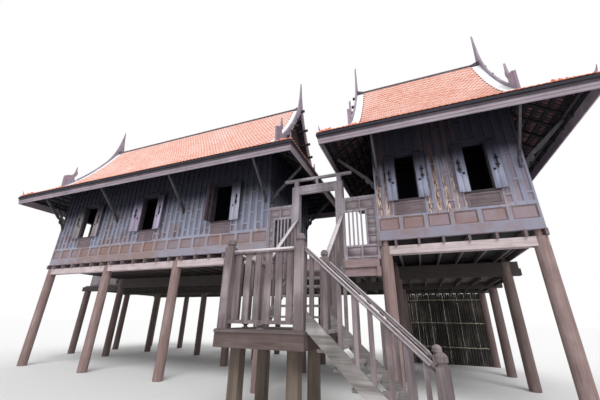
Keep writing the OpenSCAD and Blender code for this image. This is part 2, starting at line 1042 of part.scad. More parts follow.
// Where the purlin under the rafters lies, in from the eaves.
eave_purlin_in = 210;
eave_purlin_w = 60;
eave_purlin_h = 60;
eave_purlin_top = skirt_under(eave_purlin_in) - rafter_h - 1;

// The purlin under the rafters of the skirt roof round one house. The bars of
// the ends fit between those of the long sides.
module eave_purlin(x0, x1) {
    out = eave_out - eave_purlin_in;
    z0 = eave_purlin_top - eave_purlin_h;
    round_house(x0, x1) {
        block(x0 - out, x1 + out, eave_purlin_in, eave_purlin_in + eave_purlin_w, z0, eave_purlin_top);
        block(-out + eave_purlin_w + 2, house_depth + out - eave_purlin_w - 2,
              eave_purlin_in, eave_purlin_in + eave_purlin_w, z0, eave_purlin_top);
    }
}

module eave_purlins() {
    color(wood_dark)
        sited() {
            eave_purlin(long_x0, long_x1);
            eave_purlin(short_x0, short_x1);
        }
}

// The rounded cap over one ridge, which turns up at both ends.
module ridge_cap(x0, x1) {
    lift = 260;
    difference() {
        union() {
            along_x(x0, x1)
                translate([ridge_y, ridge_z - 45])
                    circle(d = 170);
            for (x = [x0, x1])
                translate([x, ridge_y - 40, 0])
                    mirror([x == x1 ? 1 : 0, 0, 0])
                        along_y(0, 80)
                            difference() {
                                polygon([
                                    [0, ridge_z],
                                    [0, ridge_z + 120],
                                    [lift, ridge_z + 20],
                                    [lift, ridge_z]
                                ]);
                                translate([lift, ridge_z + 300])
                                    circle(r = 265, $fn = 64);
                            }
        }
        along_x(x0 - 1, x1 + 1)
            under_roof(0, roof_z(roof_reach) - roof_t);
    }
}

module ridge_caps() {
    color(wood_grey)
        sited() {
            ridge_cap(long_roof_x0, long_roof_x1);
            ridge_cap(short_roof_x0, short_roof_x1);
        }
}

// The plastered band on the roof along one verge, on both slopes.
module verge(x0, x1) {
    thick = 55;
    skip = 95;
    along_x(x0, x1)
        difference() {
            under_roof(-thick, roof_z(roof_reach) - roof_t);
            under_roof(-1, roof_z(roof_reach) - 2 * roof_t);
            translate([ridge_y - skip, ridge_z - 400])
                square([2 * skip, 600]);
        }
}

module verge_bands() {
    color(plaster)
        sited()
            for (r = [[long_roof_x0, long_roof_x1], [short_roof_x0, short_roof_x1]]) {
                verge(r[0], r[0] + verge_band);
                verge(r[1] - verge_band, r[1]);
            }
}

// Height of the upper edge of a barge board, which sweeps up to the finial.
function barge_z(d) = roof_z(d) + 150 + (finial_h - 40) * exp(-d / 145);

// The hooked foot of a barge board, as a shape in distance from the ridge line
// and height: a cup, a thin spike and a block with a horn. It stands on the
// skirt roof, whose height there is the base.
module hook_shape(base) {
    difference() {
        polygon([
            [1400, base],
            [1400, 7050],
            [1455, 7045],
            [1500, 6990],
            [1550, 6980],
            [1600, 7015],
            [1620, 7083],
            [1595, 7165],
            [1547, 7254],
            [1546, 7327],
            [1600, 7420],
            [1628, 7600],
            [1645, 7430],
            [1658, 7320],
            [1680, 7247],
            [1725, 7185],
            [1775, 7148],
            [1830, 7125],
            [1900, 7092],
            [1955, 7055],
            [2007, 7010],
            [1995, 6850],
            [1982, 6650],
            [1965, min(base, 6450)],
            [1870, base]
        ]);
        translate([1480, 6640])
            circle(r = 55);
    }
}

// One barge board as a shape in distance from the ridge line and height.
module barge_shape(base) {
    steps = 24;
    reach = 1500;
    polygon(concat(
        [for (i = [0 : steps]) let (d = reach * pow(i / steps, 1.6)) [d, barge_z(d)]],
        [for (i = [steps : -1 : 0]) let (d = reach * i / steps) [d, roof_z(d) - 170]]
    ));
    hook_shape(base);
}

// The barge boards over one gable, in the plane from x to x plus their
// thickness. Out is how far they stand past the end posts.
module barge_boards(x, out) {
    along_x(x, x + barge_t)
        for (s = [-1, 1])
            translate([ridge_y, 0])
                scale([s, 1])
                    barge_shape(skirt_top(eave_out - out) + 3);
}

module left_barge_boards() {
    color(wood_grey)
        sited()
            difference() {
                union() {
                    barge_boards(long_roof_x0 - barge_t, verge_out);
                    barge_boards(long_roof_x1, verge_out);
                }
                purlins(long_roof_x0, long_roof_x1);
            }
}

module right_barge_boards() {
    color(wood_grey)
        sited()
            difference() {
                union() {
                    barge_boards(short_roof_x0 - barge_t, short_verge_out + roof_shift);
                    barge_boards(short_roof_x1, short_verge_out - roof_shift);
                }
                purlins(short_roof_x0, short_roof_x1);
            }
}

// One eave strut, drawn outwards from a wall face at zero, with a wavy foot.
module strut_shape() {
    reach = eave_out - eave_purlin_in - wall_out;
    top = eave_purlin_top - eave_purlin_h;
    difference() {
        polygon([
            [0, 4700],
            [0, 4880],
            [80, 4960],
            [130, 5050],
            [250, 5165],
            [reach - 50, top],
            [reach, top],
            [reach, top - 40],
            [290, 5080],
            [190, 4910],
            [105, 4860],
            [60, 4740]
        ]);
        translate([290, 5020])
            circle(r = 65);
        translate([170, 4855])
            circle(r = 55);
    }
}

// The struts along both long sides of a house.
module side_struts(x0, bays) {
    front_and_back()
        for (i = [0 : bays])
            along_x(x0 + i * bay - 22, x0 + i * bay + 22)
                translate([-wall_out, 0])
                    mirror([1, 0])
                        strut_shape();
}

// The struts at both ends of a house.
module end_struts(x0, x1) {
    for (y = [30, house_depth - 30]) {
        along_y(y - 22, y + 22)
            translate([x1 + wall_out, 0])
                strut_shape();
        along_y(y - 22, y + 22)
            translate([x0 - wall_out, 0])
                mirror([1, 0])
                    strut_shape();
    }
}

module eave_struts() {
    color(wood_grey)
        sited() {
            side_struts(long_x0, long_bays);
            side_struts(short_x0, 1);
            end_struts(long_x0, long_x1);
            end_struts(short_x0, short_x1);
        }
}

// Gateway and parapets

module gate_frame() {
    y0 = -wall_out;
    y1 = y0 + gate_post;
    thin = 110;
    head = lintel_z + lintel_h;
    bar_z = head + 180;
    color(wood_grey)
        sited() {
            for (s = [-1, 1]) {
                x = gate_x + s * (gate_post_in + gate_post / 2);
                block(x - gate_post / 2, x + gate_post / 2, y0, y1, terrace_z, head - 20);
                block(x - thin / 2, x + thin / 2, y0 + 40, y0 + 40 + thin, terrace_z, bar_z);
            }
            block(gate_x - gate_post_in - 60, gate_x + gate_post_in + 60, y0 + 20, y0 + 100,
                  lintel_z, head);
            block(gate_x - 25, gate_x + 25, y0 + 40, y0 + 90, head - 5, bar_z);
            block(gate_x - 975, gate_x + 965, y0 + 50, y0 + 130, bar_z, bar_z + 70);
        }
}

// Two panels sunk in the face of a parapet panel, side by side.
module twin_sunk(x0, x1, z0, z1) {
    middle = (x0 + x1) / 2;
    for (s = [[x0, middle - 25], [middle + 25, x1]]) {
        block(s[0], s[1], -5, 16, z0, z1);
        block(s[0], s[1], 34, 55, z0, z1);
    }
}

// A parapet panel of a given length, drawn from zero along X and 50 thick.
// The slatted part lies between s0 and s1, and small panels fill the rest.
module panel(length, s0, s1) {
    slats = round((s1 - s0) / 105);
    step = (s1 - s0) / slats;
    rises = [370, 600, 830, 1060];
    difference() {
        block(0, length, 0, 50, 0, parapet_h);
        block(s0, s1, -5, 55, 350, 1220);
        block(60, length - 60, -5, 55, -5, 40);
        twin_sunk(60, length - 60, 95, 300);
        twin_sunk(60, length - 60, 1290, parapet_h - 100);
        for (part = [[50, s0 - 50], [s1 + 50, length - 50]])
            if (part[1] - part[0] > 60)
                for (z = rises)
                    block(part[0], part[1], -5, 16, z, z + 190);
    }
    for (i = [1 : slats - 1])
        block(s0 + i * step - 19, s0 + i * step + 19, 10, 40, 350, 1220);
    block(0, length, -15, 65, parapet_h - 60, parapet_h);
}

module gate_side_panels() {
    x0 = long_x1 + wall_out;
    x1 = gate_x - gate_post_out;
    x2 = gate_x + gate_post_out;
    x3 = short_x0 - wall_out;
    color(wood_dark)
        sited() {
            translate([x0, -wall_out + 20, terrace_z])
                panel(x1 - x0, 200, x1 - x0 - 25);
            translate([x2, -wall_out + 20, terrace_z])
                panel(x3 - x2, 25, x3 - x2 - 290);
        }
}

// A run of parapet panels between posts, drawn from zero along X.
module parapet(length) {
    count = max(1, round(length / 1500));
    step = length / count;
    for (i = [0 : count - 1])
        translate([i * step, 0, 0])
            panel(step, step / 2 - 330, step / 2 + 330);
}

module terrace_parapets() {
    color(wood_dark)
        sited() {
            translate([wing_x - 60, row_1 + 60, terrace_z])
                parapet(wing - 100);
            translate([wing_x - 60, row_1 + 130, terrace_z])
                rotate([0, 0, 90])
                    parapet(row_3 - row_1 - 110);
            translate([short_x1 + 60, row_3 + 90, terrace_z])
                rotate([0, 0, 180])
                    parapet(short_x1 - wing_x + 120);
            translate([short_x1 + 10, row_3 + 20, terrace_z])
                rotate([0, 0, -90])
                    parapet(row_3 - row_1 - wall_out - 50);
        }
}

module log_screen() {
    count = 30;
    x0 = short_x0 + post_d / 2;
    step = (bay - post_d) / count;
    color(wood_dark)
        sited() {
            for (i = [0 : count - 1])
                translate([x0 + (i + 0.5) * step, row_3, 0])
                    cylinder(d = step - 3, h = terrace_beam_z - 4 - 8 * (i % 3));
            for (z = [500, 1400, 2300])
                block(x0, short_x1 - post_d / 2, row_3 - 20, row_3 + 20, z, z + 60);
        }
}

// Stairs

module landing_legs() {
    color(wood_post)
        sited()
            for (x = [1100, 2045])
                for (y = [-2690, -1830])
                    block(x - 85, x + 85, y - 85, y + 85, 0, landing_z - 235);
}

module landing_frame() {
    x0 = newel_x0 - landing_edge;
    x1 = newel_x1 + landing_edge;
    y0 = newel_y0 - landing_edge;
    y1 = landing_y1;
    z0 = landing_z - 235;
    z1 = landing_z - 35;
    color(wood_grey)
        sited() {
            difference() {
                block(x0, x1, y0, y1, z0, z1);
                block(x0 + 50, x1 - 50, y0 + 50, y1 - 50, z0 - 5, z1 + 5);
            }
            for (y = [-2690, -1830])
                block(x0 + 40, x1 - 40, y - 40, y + 40, z0, z1);
        }
}

module landing_deck() {
    color(wood_grey)
        sited()
            block(newel_x0 - landing_edge - 10, newel_x1 + landing_edge,
                  newel_y0 - landing_edge - 10, landing_y1, landing_z - 35, landing_z);
}

// One newel post with a waist, a collar and a domed head, turned from its top.
module newel_post(x, y, z, h) {
    r = newel / 2;
    translate([x, y, z]) {
        translate([-r, -r, 0])
            cube([newel, newel, h - 150]);
        translate([0, 0, h - 150])
            rotate_extrude()
                difference() {
                    union() {
                        square([r * 0.98, 12]);
                        square([r * 0.74, 60]);
                        translate([0, 48])
                            square([r * 0.96, 36]);
                        translate([0, 75])
                            intersection() {
                                circle(r = 75);
                                square([r * 0.92, 75]);
                            }
                    }
                    translate([r * 0.9, 30])
                        circle(r = 14);
                }
    }
}

module stair_newels() {
    color(wood_grey)
        sited() {
            for (x = [newel_x0, newel_x1])
                for (y = [newel_y0, newel_y1])
                    newel_post(x, y, landing_z, newel_h);
            for (y = [newel_y0, newel_y1])
                newel_post(low_newel_x, y, 0, low_newel_h);
        }
}

// A level balustrade of boards between two rails, drawn from zero along X,
// with a turned spool under the middle of its foot rail.
module balustrade(length, boards) {
    step = length / boards;
    foot = 84;
    block(0, length, -40, 40, rail_h - 50, rail_h);
    block(0, length, -25, 25, foot, foot + 50);
    for (i = [0 : boards - 1])
        block((i + 0.5) * step - 52, (i + 0.5) * step + 52, -12, 12, foot + 45, rail_h - 45);
    translate([length / 2, 0, 0])
        rotate_extrude()
            polygon([[0, 0], [60, 0], [60, 16], [30, 34], [30, 50], [60, 68], [60, foot], [0, foot]]);
}

module landing_balustrade() {
    color(wood_grey)
        sited() {
            translate([newel_x0 + newel / 2, newel_y0, landing_z])
                balustrade(newel_x1 - newel_x0 - newel, 6);
            translate([newel_x0, newel_y0 + newel / 2, landing_z])
                rotate([0, 0, 90])
                    balustrade(newel_y1 - newel_y0 - newel, 6);
        }
}

// Heights of the nosing lines of the two flights.
upper_run = (upper_steps - 1) * upper_going;
function upper_nosing(y) = landing_z + upper_rise + upper_slope * (y + wall_out + upper_run);
function lower_nosing(x) = 1577 - lower_slope * (x - 2340);

module stair_stringers() {
    y0 = newel_y1 + newel / 2;
    y1 = -wall_out;
    drop = 155;
    foot = y1 - (upper_steps - 1) * upper_going - (upper_rise - drop) / upper_slope;
    x0 = newel_x1 + landing_edge;
    x1 = low_newel_x - newel / 2;
    color(wood_grey)
        sited() {
            for (x = [newel_x0, newel_x1])
                along_x(x - stringer_t / 2, x + stringer_t / 2)
                    polygon([
                        [y0, landing_z],
                        [y0, upper_nosing(y0) + 100],
                        [y1, upper_nosing(y1) + 100],
                        [y1, upper_nosing(y1) - drop],
                        [foot, landing_z]
                    ]);
            for (y = [newel_y0, newel_y1])
                along_y(y - stringer_t / 2, y + stringer_t / 2)
                    polygon([
                        [x0, lower_nosing(x0) + 120],
                        [x1, lower_nosing(x1) + 120],
                        [x1, 0],
                        [x1 - 60, 0],
                        [x0, lower_nosing(x0) - 133]
                    ]);
        }
}

module stair_treads() {
    x0 = newel_x0 + stringer_t / 2;
    x1 = newel_x1 - stringer_t / 2;
    y0 = newel_y0 + stringer_t / 2;
    y1 = newel_y1 - stringer_t / 2;
    color(wood_grey)
        sited() {
            for (i = [1 : upper_steps - 1]) {
                y = -wall_out - (upper_steps - i) * upper_going;
                z = landing_z + i * upper_rise;
                block(x0, x1, y, y + upper_going + 10, z - tread_t, z);
            }
            for (i = [0 : lower_steps - 1]) {
                z = landing_z - i * lower_rise;
                x = 2340 + (1577 - z) / lower_slope;
                block(max(x - lower_going - 10, newel_x1 + landing_edge), x, y0, y1, z - tread_t, z);
            }
        }
}

// One sloping bar from a to b, as a shape. Its top starts at the level top.
module sloping_bar(a, b, top, slope, depth) {
    polygon([
        [a, top - depth],
        [a, top],
        [b, top + slope * (b - a)],
        [b, top + slope * (b - a) - depth]
    ]);
}

// The lower part of a sloping handrail with its upright boards, as a shape. It
// runs from a to b, and the boards stand on a line that starts at foot.
module sloping_rail(a, b, top, foot, slope, boards) {
    step = (b - a) / boards;
    sloping_bar(a, b, top, slope, 80);
    for (i = [0 : boards - 1]) {
        p = (i + 0.5) * step - 30;
        polygon([
            [a + p, foot + slope * p],
            [a + p, top + slope * p - 20],
            [a + p + 60, top + slope * (p + 60) - 20],
            [a + p + 60, foot + slope * (p + 60)]
        ]);
    }
}

module stair_rails() {
    y0 = newel_y1 + newel / 2;
    y1 = -wall_out;
    x0 = newel_x1 + newel / 2;
    x1 = low_newel_x - newel / 2;
    cap = 100;
    upper_top = landing_z + rail_h + 60;
    lower_top = landing_z + rail_h;
    color(wood_grey)
        sited() {
            for (x = [newel_x0, newel_x1]) {
                along_x(x - 20, x + 20)
                    sloping_rail(y0, y1, upper_top, upper_nosing(y0) + 100, upper_slope, 8);
                along_x(x - cap / 2, x + cap / 2)
                    sloping_bar(y0, y1, upper_top + 5, upper_slope, 40);
            }
            for (y = [newel_y0, newel_y1]) {
                along_y(y - 20, y + 20)
                    sloping_rail(x0, x1, lower_top, lower_nosing(x0) + 120, -lower_slope, 8);
                along_y(y - cap / 2, y + cap / 2)
                    sloping_bar(x0, x1, lower_top + 5, -lower_slope, 40);
            }
        }
}

house_posts();
terrace_posts();
floor_beams();
terrace_beams();
passage_beams();
floor_joists();
terrace_joists();
house_floors();
terrace_deck();
riser_boards();
left_front_wall();
left_back_wall();
left_end_walls();
right_front_wall();
right_back_wall();
right_end_walls();
left_wall_frames();
right_wall_frames();
window_frames();
window_aprons();
window_shutters();
gables();
left_main_roof();
right_main_roof();
left_skirt_roof();
right_skirt_roof();
fascias();
ridge_caps();
verge_bands();
left_barge_boards();
right_barge_boards();
roof_purlins();
eave_purlins();
roof_trusses();
skirt_rafters();
eave_struts();
gate_frame();
gate_side_panels();
terrace_parapets();
log_screen();
landing_legs();
landing_frame();
landing_deck();
stair_newels();
landing_balustrade();
stair_stringers();
stair_treads();
stair_rails();
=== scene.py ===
"""Looks of the stilt house: roof tiles, soffits, carvings, boards and finishes.

Every length is in metres. Places along the front and into the depth are first
written from the right front post of the long house, and Site shifts them into
the frame of the model.
"""

import logging
import math
from dataclasses import dataclass, field
from enum import Enum

import bpy
import numpy as np
from mathutils import Matrix


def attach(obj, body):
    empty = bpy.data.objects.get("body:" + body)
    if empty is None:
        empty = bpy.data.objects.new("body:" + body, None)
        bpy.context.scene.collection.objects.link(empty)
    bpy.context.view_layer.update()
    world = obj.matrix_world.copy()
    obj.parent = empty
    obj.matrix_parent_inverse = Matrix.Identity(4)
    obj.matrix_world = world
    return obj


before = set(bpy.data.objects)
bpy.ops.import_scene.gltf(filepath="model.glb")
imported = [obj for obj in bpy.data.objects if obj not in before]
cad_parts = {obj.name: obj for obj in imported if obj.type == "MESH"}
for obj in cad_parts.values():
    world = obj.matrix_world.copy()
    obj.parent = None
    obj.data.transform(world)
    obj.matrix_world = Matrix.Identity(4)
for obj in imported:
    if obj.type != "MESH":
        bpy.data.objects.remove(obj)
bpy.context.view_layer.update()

logging.basicConfig(level=logging.INFO, format="%(message)s")
log = logging.getLogger("stilt_house")

Pair = tuple[float, float]
Triple = tuple[float, float, float]
Colour = Triple
Faces = list[tuple[int, ...]]
Rectangle = tuple[float, float, float, float]
Socket = bpy.types.NodeSocket

UP = np.array([0.0, 0.0, 1.0])


class Grain(Enum):
    """The axis that the fibres of a piece of wood follow."""

    X = 0
    Y = 1
    Z = 2


class Side(Enum):
    """The four sides of a house, as quarter turns from the front."""

    FRONT = 0
    RIGHT = 1
    BACK = 2
    LEFT = 3


def linear(colour: Colour) -> tuple[float, float, float, float]:
    """Turns a screen colour into the scene's linear colour.

    Each channel is a straight line near black and a power of 2.4 above it.

    Args:
        colour: Red, green and blue between 0 and 1, as on a screen.

    Returns:
        The linear colour with an alpha of 1.
    """
    channels = np.asarray(colour, dtype=float)
    low = channels / 12.92
    high = ((channels + 0.055) / 1.055) ** 2.4
    red, green, blue = np.where(channels <= 0.04045, low, high)
    return float(red), float(green), float(blue), 1.0


def unit(vectors: np.ndarray) -> np.ndarray:
    """Scales vectors, one in each row, to a length of 1."""
    return vectors / np.linalg.norm(vectors, axis=-1, keepdims=True)


@dataclass(frozen=True)
class Site:
    """Where the right front post of the long house stands in the model."""

    x: float = 1.995
    y: float = -2.2125

    def place(self, points: np.ndarray) -> np.ndarray:
        """Shifts points from the post lines into the frame of the model."""
        return np.asarray(points, dtype=float) + (self.x, self.y, 0.0)


SITE = Site()


@dataclass(frozen=True)
class House:
    """The post lines and roofs of one house, from the long house's corner post.

    The walls and the eaves stand out from the post lines. The main roof runs
    from one X to another, and the door is the middle of the back doorway.
    """

    name: str
    x0: float
    x1: float
    roof_x0: float
    roof_x1: float
    door: float
    depth: float = 3.0
    wall_out: float = 0.12
    eave_out: float = 1.29
    eave_z: float = 5.85
    skirt_slope: float = 0.72
    skirt_t: float = 0.07
    ridge_z: float = 9.21
    ridge_slope: float = 1.89
    roof_sag: float = 0.245
    roof_reach: float = 1.94

    def roof_height(self, away: np.ndarray) -> np.ndarray:
        """Height of the main roof: the ridge less a slope, plus a square term."""
        return self.ridge_z - self.ridge_slope * away + self.roof_sag * away**2

    def skirt_height(self, inwards: np.ndarray) -> np.ndarray:
        """Height of the skirt roof's upper face at a distance in from its edge."""
        return self.eave_z + inwards * self.skirt_slope


LONG = House("left", -9.0, 0.0, -9.38, 0.38, door=-4.5)
SHORT = House("right", 3.22, 6.22, 2.64, 6.50, door=4.72)


def grid_faces(numbers: np.ndarray) -> np.ndarray:
    """Joins a grid of point numbers with faces of four corners.

    Args:
        numbers: The point numbers in rows and columns.

    Returns:
        One row of numbers for each face, which points along the cross product
        of the step over the rows and the step over the columns.
    """
    corners = [numbers[:-1, :-1], numbers[1:, :-1], numbers[1:, 1:], numbers[:-1, 1:]]
    return np.stack(corners, axis=-1).reshape(-1, 4)


class Shape:
    """Points and faces of many like solids, gathered into one mesh.

    A tint is a number for each copy, and a spot is a point's place on its own
    solid, before that is turned and shifted.
    """

    def __init__(self) -> None:
        """Starts with no points."""
        self.points: list[np.ndarray] = []
        self.corners: list[np.ndarray] = []
        self.sizes: list[np.ndarray] = []
        self.tints: list[np.ndarray] = []
        self.spots: list[np.ndarray] = []
        self.total = 0

    def repeat(
        self,
        points: np.ndarray,
        faces: Faces,
        places: np.ndarray,
        turns: np.ndarray | None = None,
        scales: np.ndarray | None = None,
        tints: np.ndarray | None = None,
    ) -> None:
        """Adds one copy of a small solid at each place.

        A copy is the solid scaled along its own axes, turned by its three axes
        and shifted to its place.

        Args:
            points: The solid's points, one row each.
            faces: The solid's faces, as rows of point numbers.
            places: The place of each copy.
            turns: The three axes of each copy as the columns of a matrix.
            scales: The size of each copy along its own axes.
            tints: A number between 0 and 1 for each copy.
        """
        places = np.asarray(places, dtype=float).reshape(-1, 3)
        count = len(places)
        if count == 0:
            return
        solid = np.broadcast_to(np.asarray(points, dtype=float), (count, len(points), 3))
        if scales is not None:
            solid = solid * np.asarray(scales, dtype=float).reshape(-1, 1, 3)
        if turns is not None:
            turns = np.broadcast_to(turns, (count, 3, 3))
            solid = np.einsum("nij,nkj->nki", turns, solid)
        solid = solid + places[:, None, :]
        first = self.total + np.arange(count) * len(points)
        flat = np.concatenate([np.asarray(face) for face in faces])
        self.points.append(solid.reshape(-1, 3))
        self.corners.append((first[:, None] + flat[None, :]).ravel())
        self.sizes.append(np.tile([len(face) for face in faces], count))
        if tints is None:
            tints = np.full(count, 0.5)
        self.tints.append(np.repeat(tints, len(points)))
        self.spots.append(np.tile(points, (count, 1)))
        self.total += count * len(points)

    def boxes(self, low: np.ndarray, high: np.ndarray, tints: np.ndarray | None = None) -> None:
        """Adds upright boxes.

        Args:
            low: The low corner of each box.
            high: The high corner of each box.
            tints: A number between 0 and 1 for each box.
        """
        low = np.asarray(low, dtype=float).reshape(-1, 3)
        high = np.asarray(high, dtype=float).reshape(-1, 3)
        self.repeat(BOX_POINTS, BOX_FACES, low, scales=high - low, tints=tints)

    def quads(self, points: np.ndarray, faces: np.ndarray) -> None:
        """Adds points and the faces between them, with four corners each.

        Args:
            points: The points, one row each.
            faces: The numbers of each face's corners among these points.
        """
        self.points.append(points)
        self.corners.append(faces.ravel() + self.total)
        self.sizes.append(np.full(len(faces), 4))
        self.tints.append(np.full(len(points), 0.5))
        self.spots.append(np.zeros((len(points), 3)))
        self.total += len(points)

    def tube(self, path: np.ndarray, radius: np.ndarray, sides: int) -> None:
        """Carries a ring along a path and closes both ends with a flat face.

        Each ring stands square to the path's direction there, and its points
        lie at even angles round it.

        Args:
            path: The middle of each ring.
            radius: The radius of each ring.
            sides: The number of points in a ring.
        """
        ahead = unit(np.gradient(path, axis=0))
        square_to = np.eye(3)[int(np.argmin(np.abs(ahead).sum(axis=0)))]
        aside = unit(np.cross(ahead, square_to))
        above = np.cross(aside, ahead)
        angle = np.linspace(0.0, 2 * math.pi, sides, endpoint=False)
        ring = np.cos(angle)[None, :, None] * aside[:, None, :]
        ring = ring + np.sin(angle)[None, :, None] * above[:, None, :]
        rings = path[:, None, :] + radius[:, None, None] * ring
        numbers = np.arange(len(path) * sides).reshape(-1, sides)
        first = self.total
        self.quads(rings.reshape(-1, 3), grid_faces(np.hstack([numbers, numbers[:, :1]])))
        last = self.total - sides
        self.corners.append(first + np.arange(sides))
        self.corners.append(last + np.arange(sides)[::-1])
        self.sizes.append(np.array([sides, sides]))

    def slab(self, face: np.ndarray, back: np.ndarray) -> None:
        """Adds a solid between a grid of points and its flat back.

        Args:
            face: The grid of the face.
            back: A grid of the same size behind it.
        """
        numbers = np.arange(face[..., 0].size).reshape(face.shape[:2])
        rim = np.concatenate([numbers[0, :-1], numbers[:-1, -1], numbers[-1, :0:-1], numbers[:0:-1, 0]])
        rim_back = rim + numbers.size
        walls = np.stack([rim, np.roll(rim, -1), np.roll(rim_back, -1), rim_back], axis=-1)
        behind = grid_faces(numbers + numbers.size)[:, ::-1]
        points = np.concatenate([face.reshape(-1, 3), back.reshape(-1, 3)])
        self.quads(points, np.concatenate([grid_faces(numbers), behind, walls]))

    def piece(self, name: str, finish: "Finish", slot: str) -> bpy.types.Object:
        """Makes the gathered solids a piece of the model.

        Args:
            name: The piece's name.
            finish: The finish that it gets.
            slot: The record's material slot that the finish belongs to. It is not used.

        Returns:
            The new object, which rides on the root body.
        """
        points = SITE.place(np.concatenate(self.points))
        corners = np.concatenate(self.corners).astype(np.int32)
        sizes = np.concatenate(self.sizes).astype(np.int32)
        starts = np.concatenate([[0], np.cumsum(sizes)[:-1]]).astype(np.int32)
        mesh = bpy.data.meshes.new(name)
        mesh.vertices.add(len(points))
        mesh.vertices.foreach_set("co", points.astype(np.float32).ravel())
        mesh.loops.add(len(corners))
        mesh.loops.foreach_set("vertex_index", corners)
        mesh.polygons.add(len(sizes))
        mesh.polygons.foreach_set("loop_start", starts)
        tint = mesh.attributes.new("tint", "FLOAT", "POINT")
        tint.data.foreach_set("value", np.concatenate(self.tints).astype(np.float32))
        if isinstance(finish, ClayTile):
            spot = mesh.attributes.new("spot", "FLOAT_VECTOR", "POINT")
            spot.data.foreach_set("vector", np.concatenate(self.spots).astype(np.float32).ravel())
        mesh.update(calc_edges=True)
        mesh.validate()
        mesh.materials.append(finish.material())
        made = bpy.data.objects.new(name, mesh)
        bpy.context.scene.collection.objects.link(made)
        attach(made, "root")
        log.info("%s: %d faces", name, len(sizes))
        return made


BOX_POINTS = np.array(
    [(0, 0, 0), (1, 0, 0), (1, 1, 0), (0, 1, 0), (0, 0, 1), (1, 0, 1), (1, 1, 1), (0, 1, 1)],
    dtype=float,
)
BOX_FACES: Faces = [
    (0, 3, 2, 1), (4, 5, 6, 7), (0, 1, 5, 4), (1, 2, 6, 5), (2, 3, 7, 6), (3, 0, 4, 7),
]


def prism(outline: np.ndarray, thickness: float) -> tuple[np.ndarray, Faces]:
    """Makes a flat solid from an outline.

    The outline's points run anticlockwise in X and Y. One copy lies at height
    zero and one at the thickness, and a wall joins them all round.

    Args:
        outline: The points of the outline in X and Y.
        thickness: How thick the solid is.

    Returns:
        The points and the faces of the solid.
    """
    outline = np.asarray(outline, dtype=float)
    count = len(outline)
    low = np.column_stack([outline, np.zeros(count)])
    high = np.column_stack([outline, np.full(count, thickness)])
    faces: Faces = [tuple(reversed(range(count))), tuple(range(count, 2 * count))]
    faces += [(i, (i + 1) % count, (i + 1) % count + count, i + count) for i in range(count)]
    return np.vstack([low, high]), faces


@dataclass(frozen=True)
class Patches:
    """Soft patches: noise, and the two limits between which they fade in.

    The scale is the number of lumps in a metre, and the detail the number of
    finer layers.
    """

    scale: float
    detail: float
    low: float
    high: float


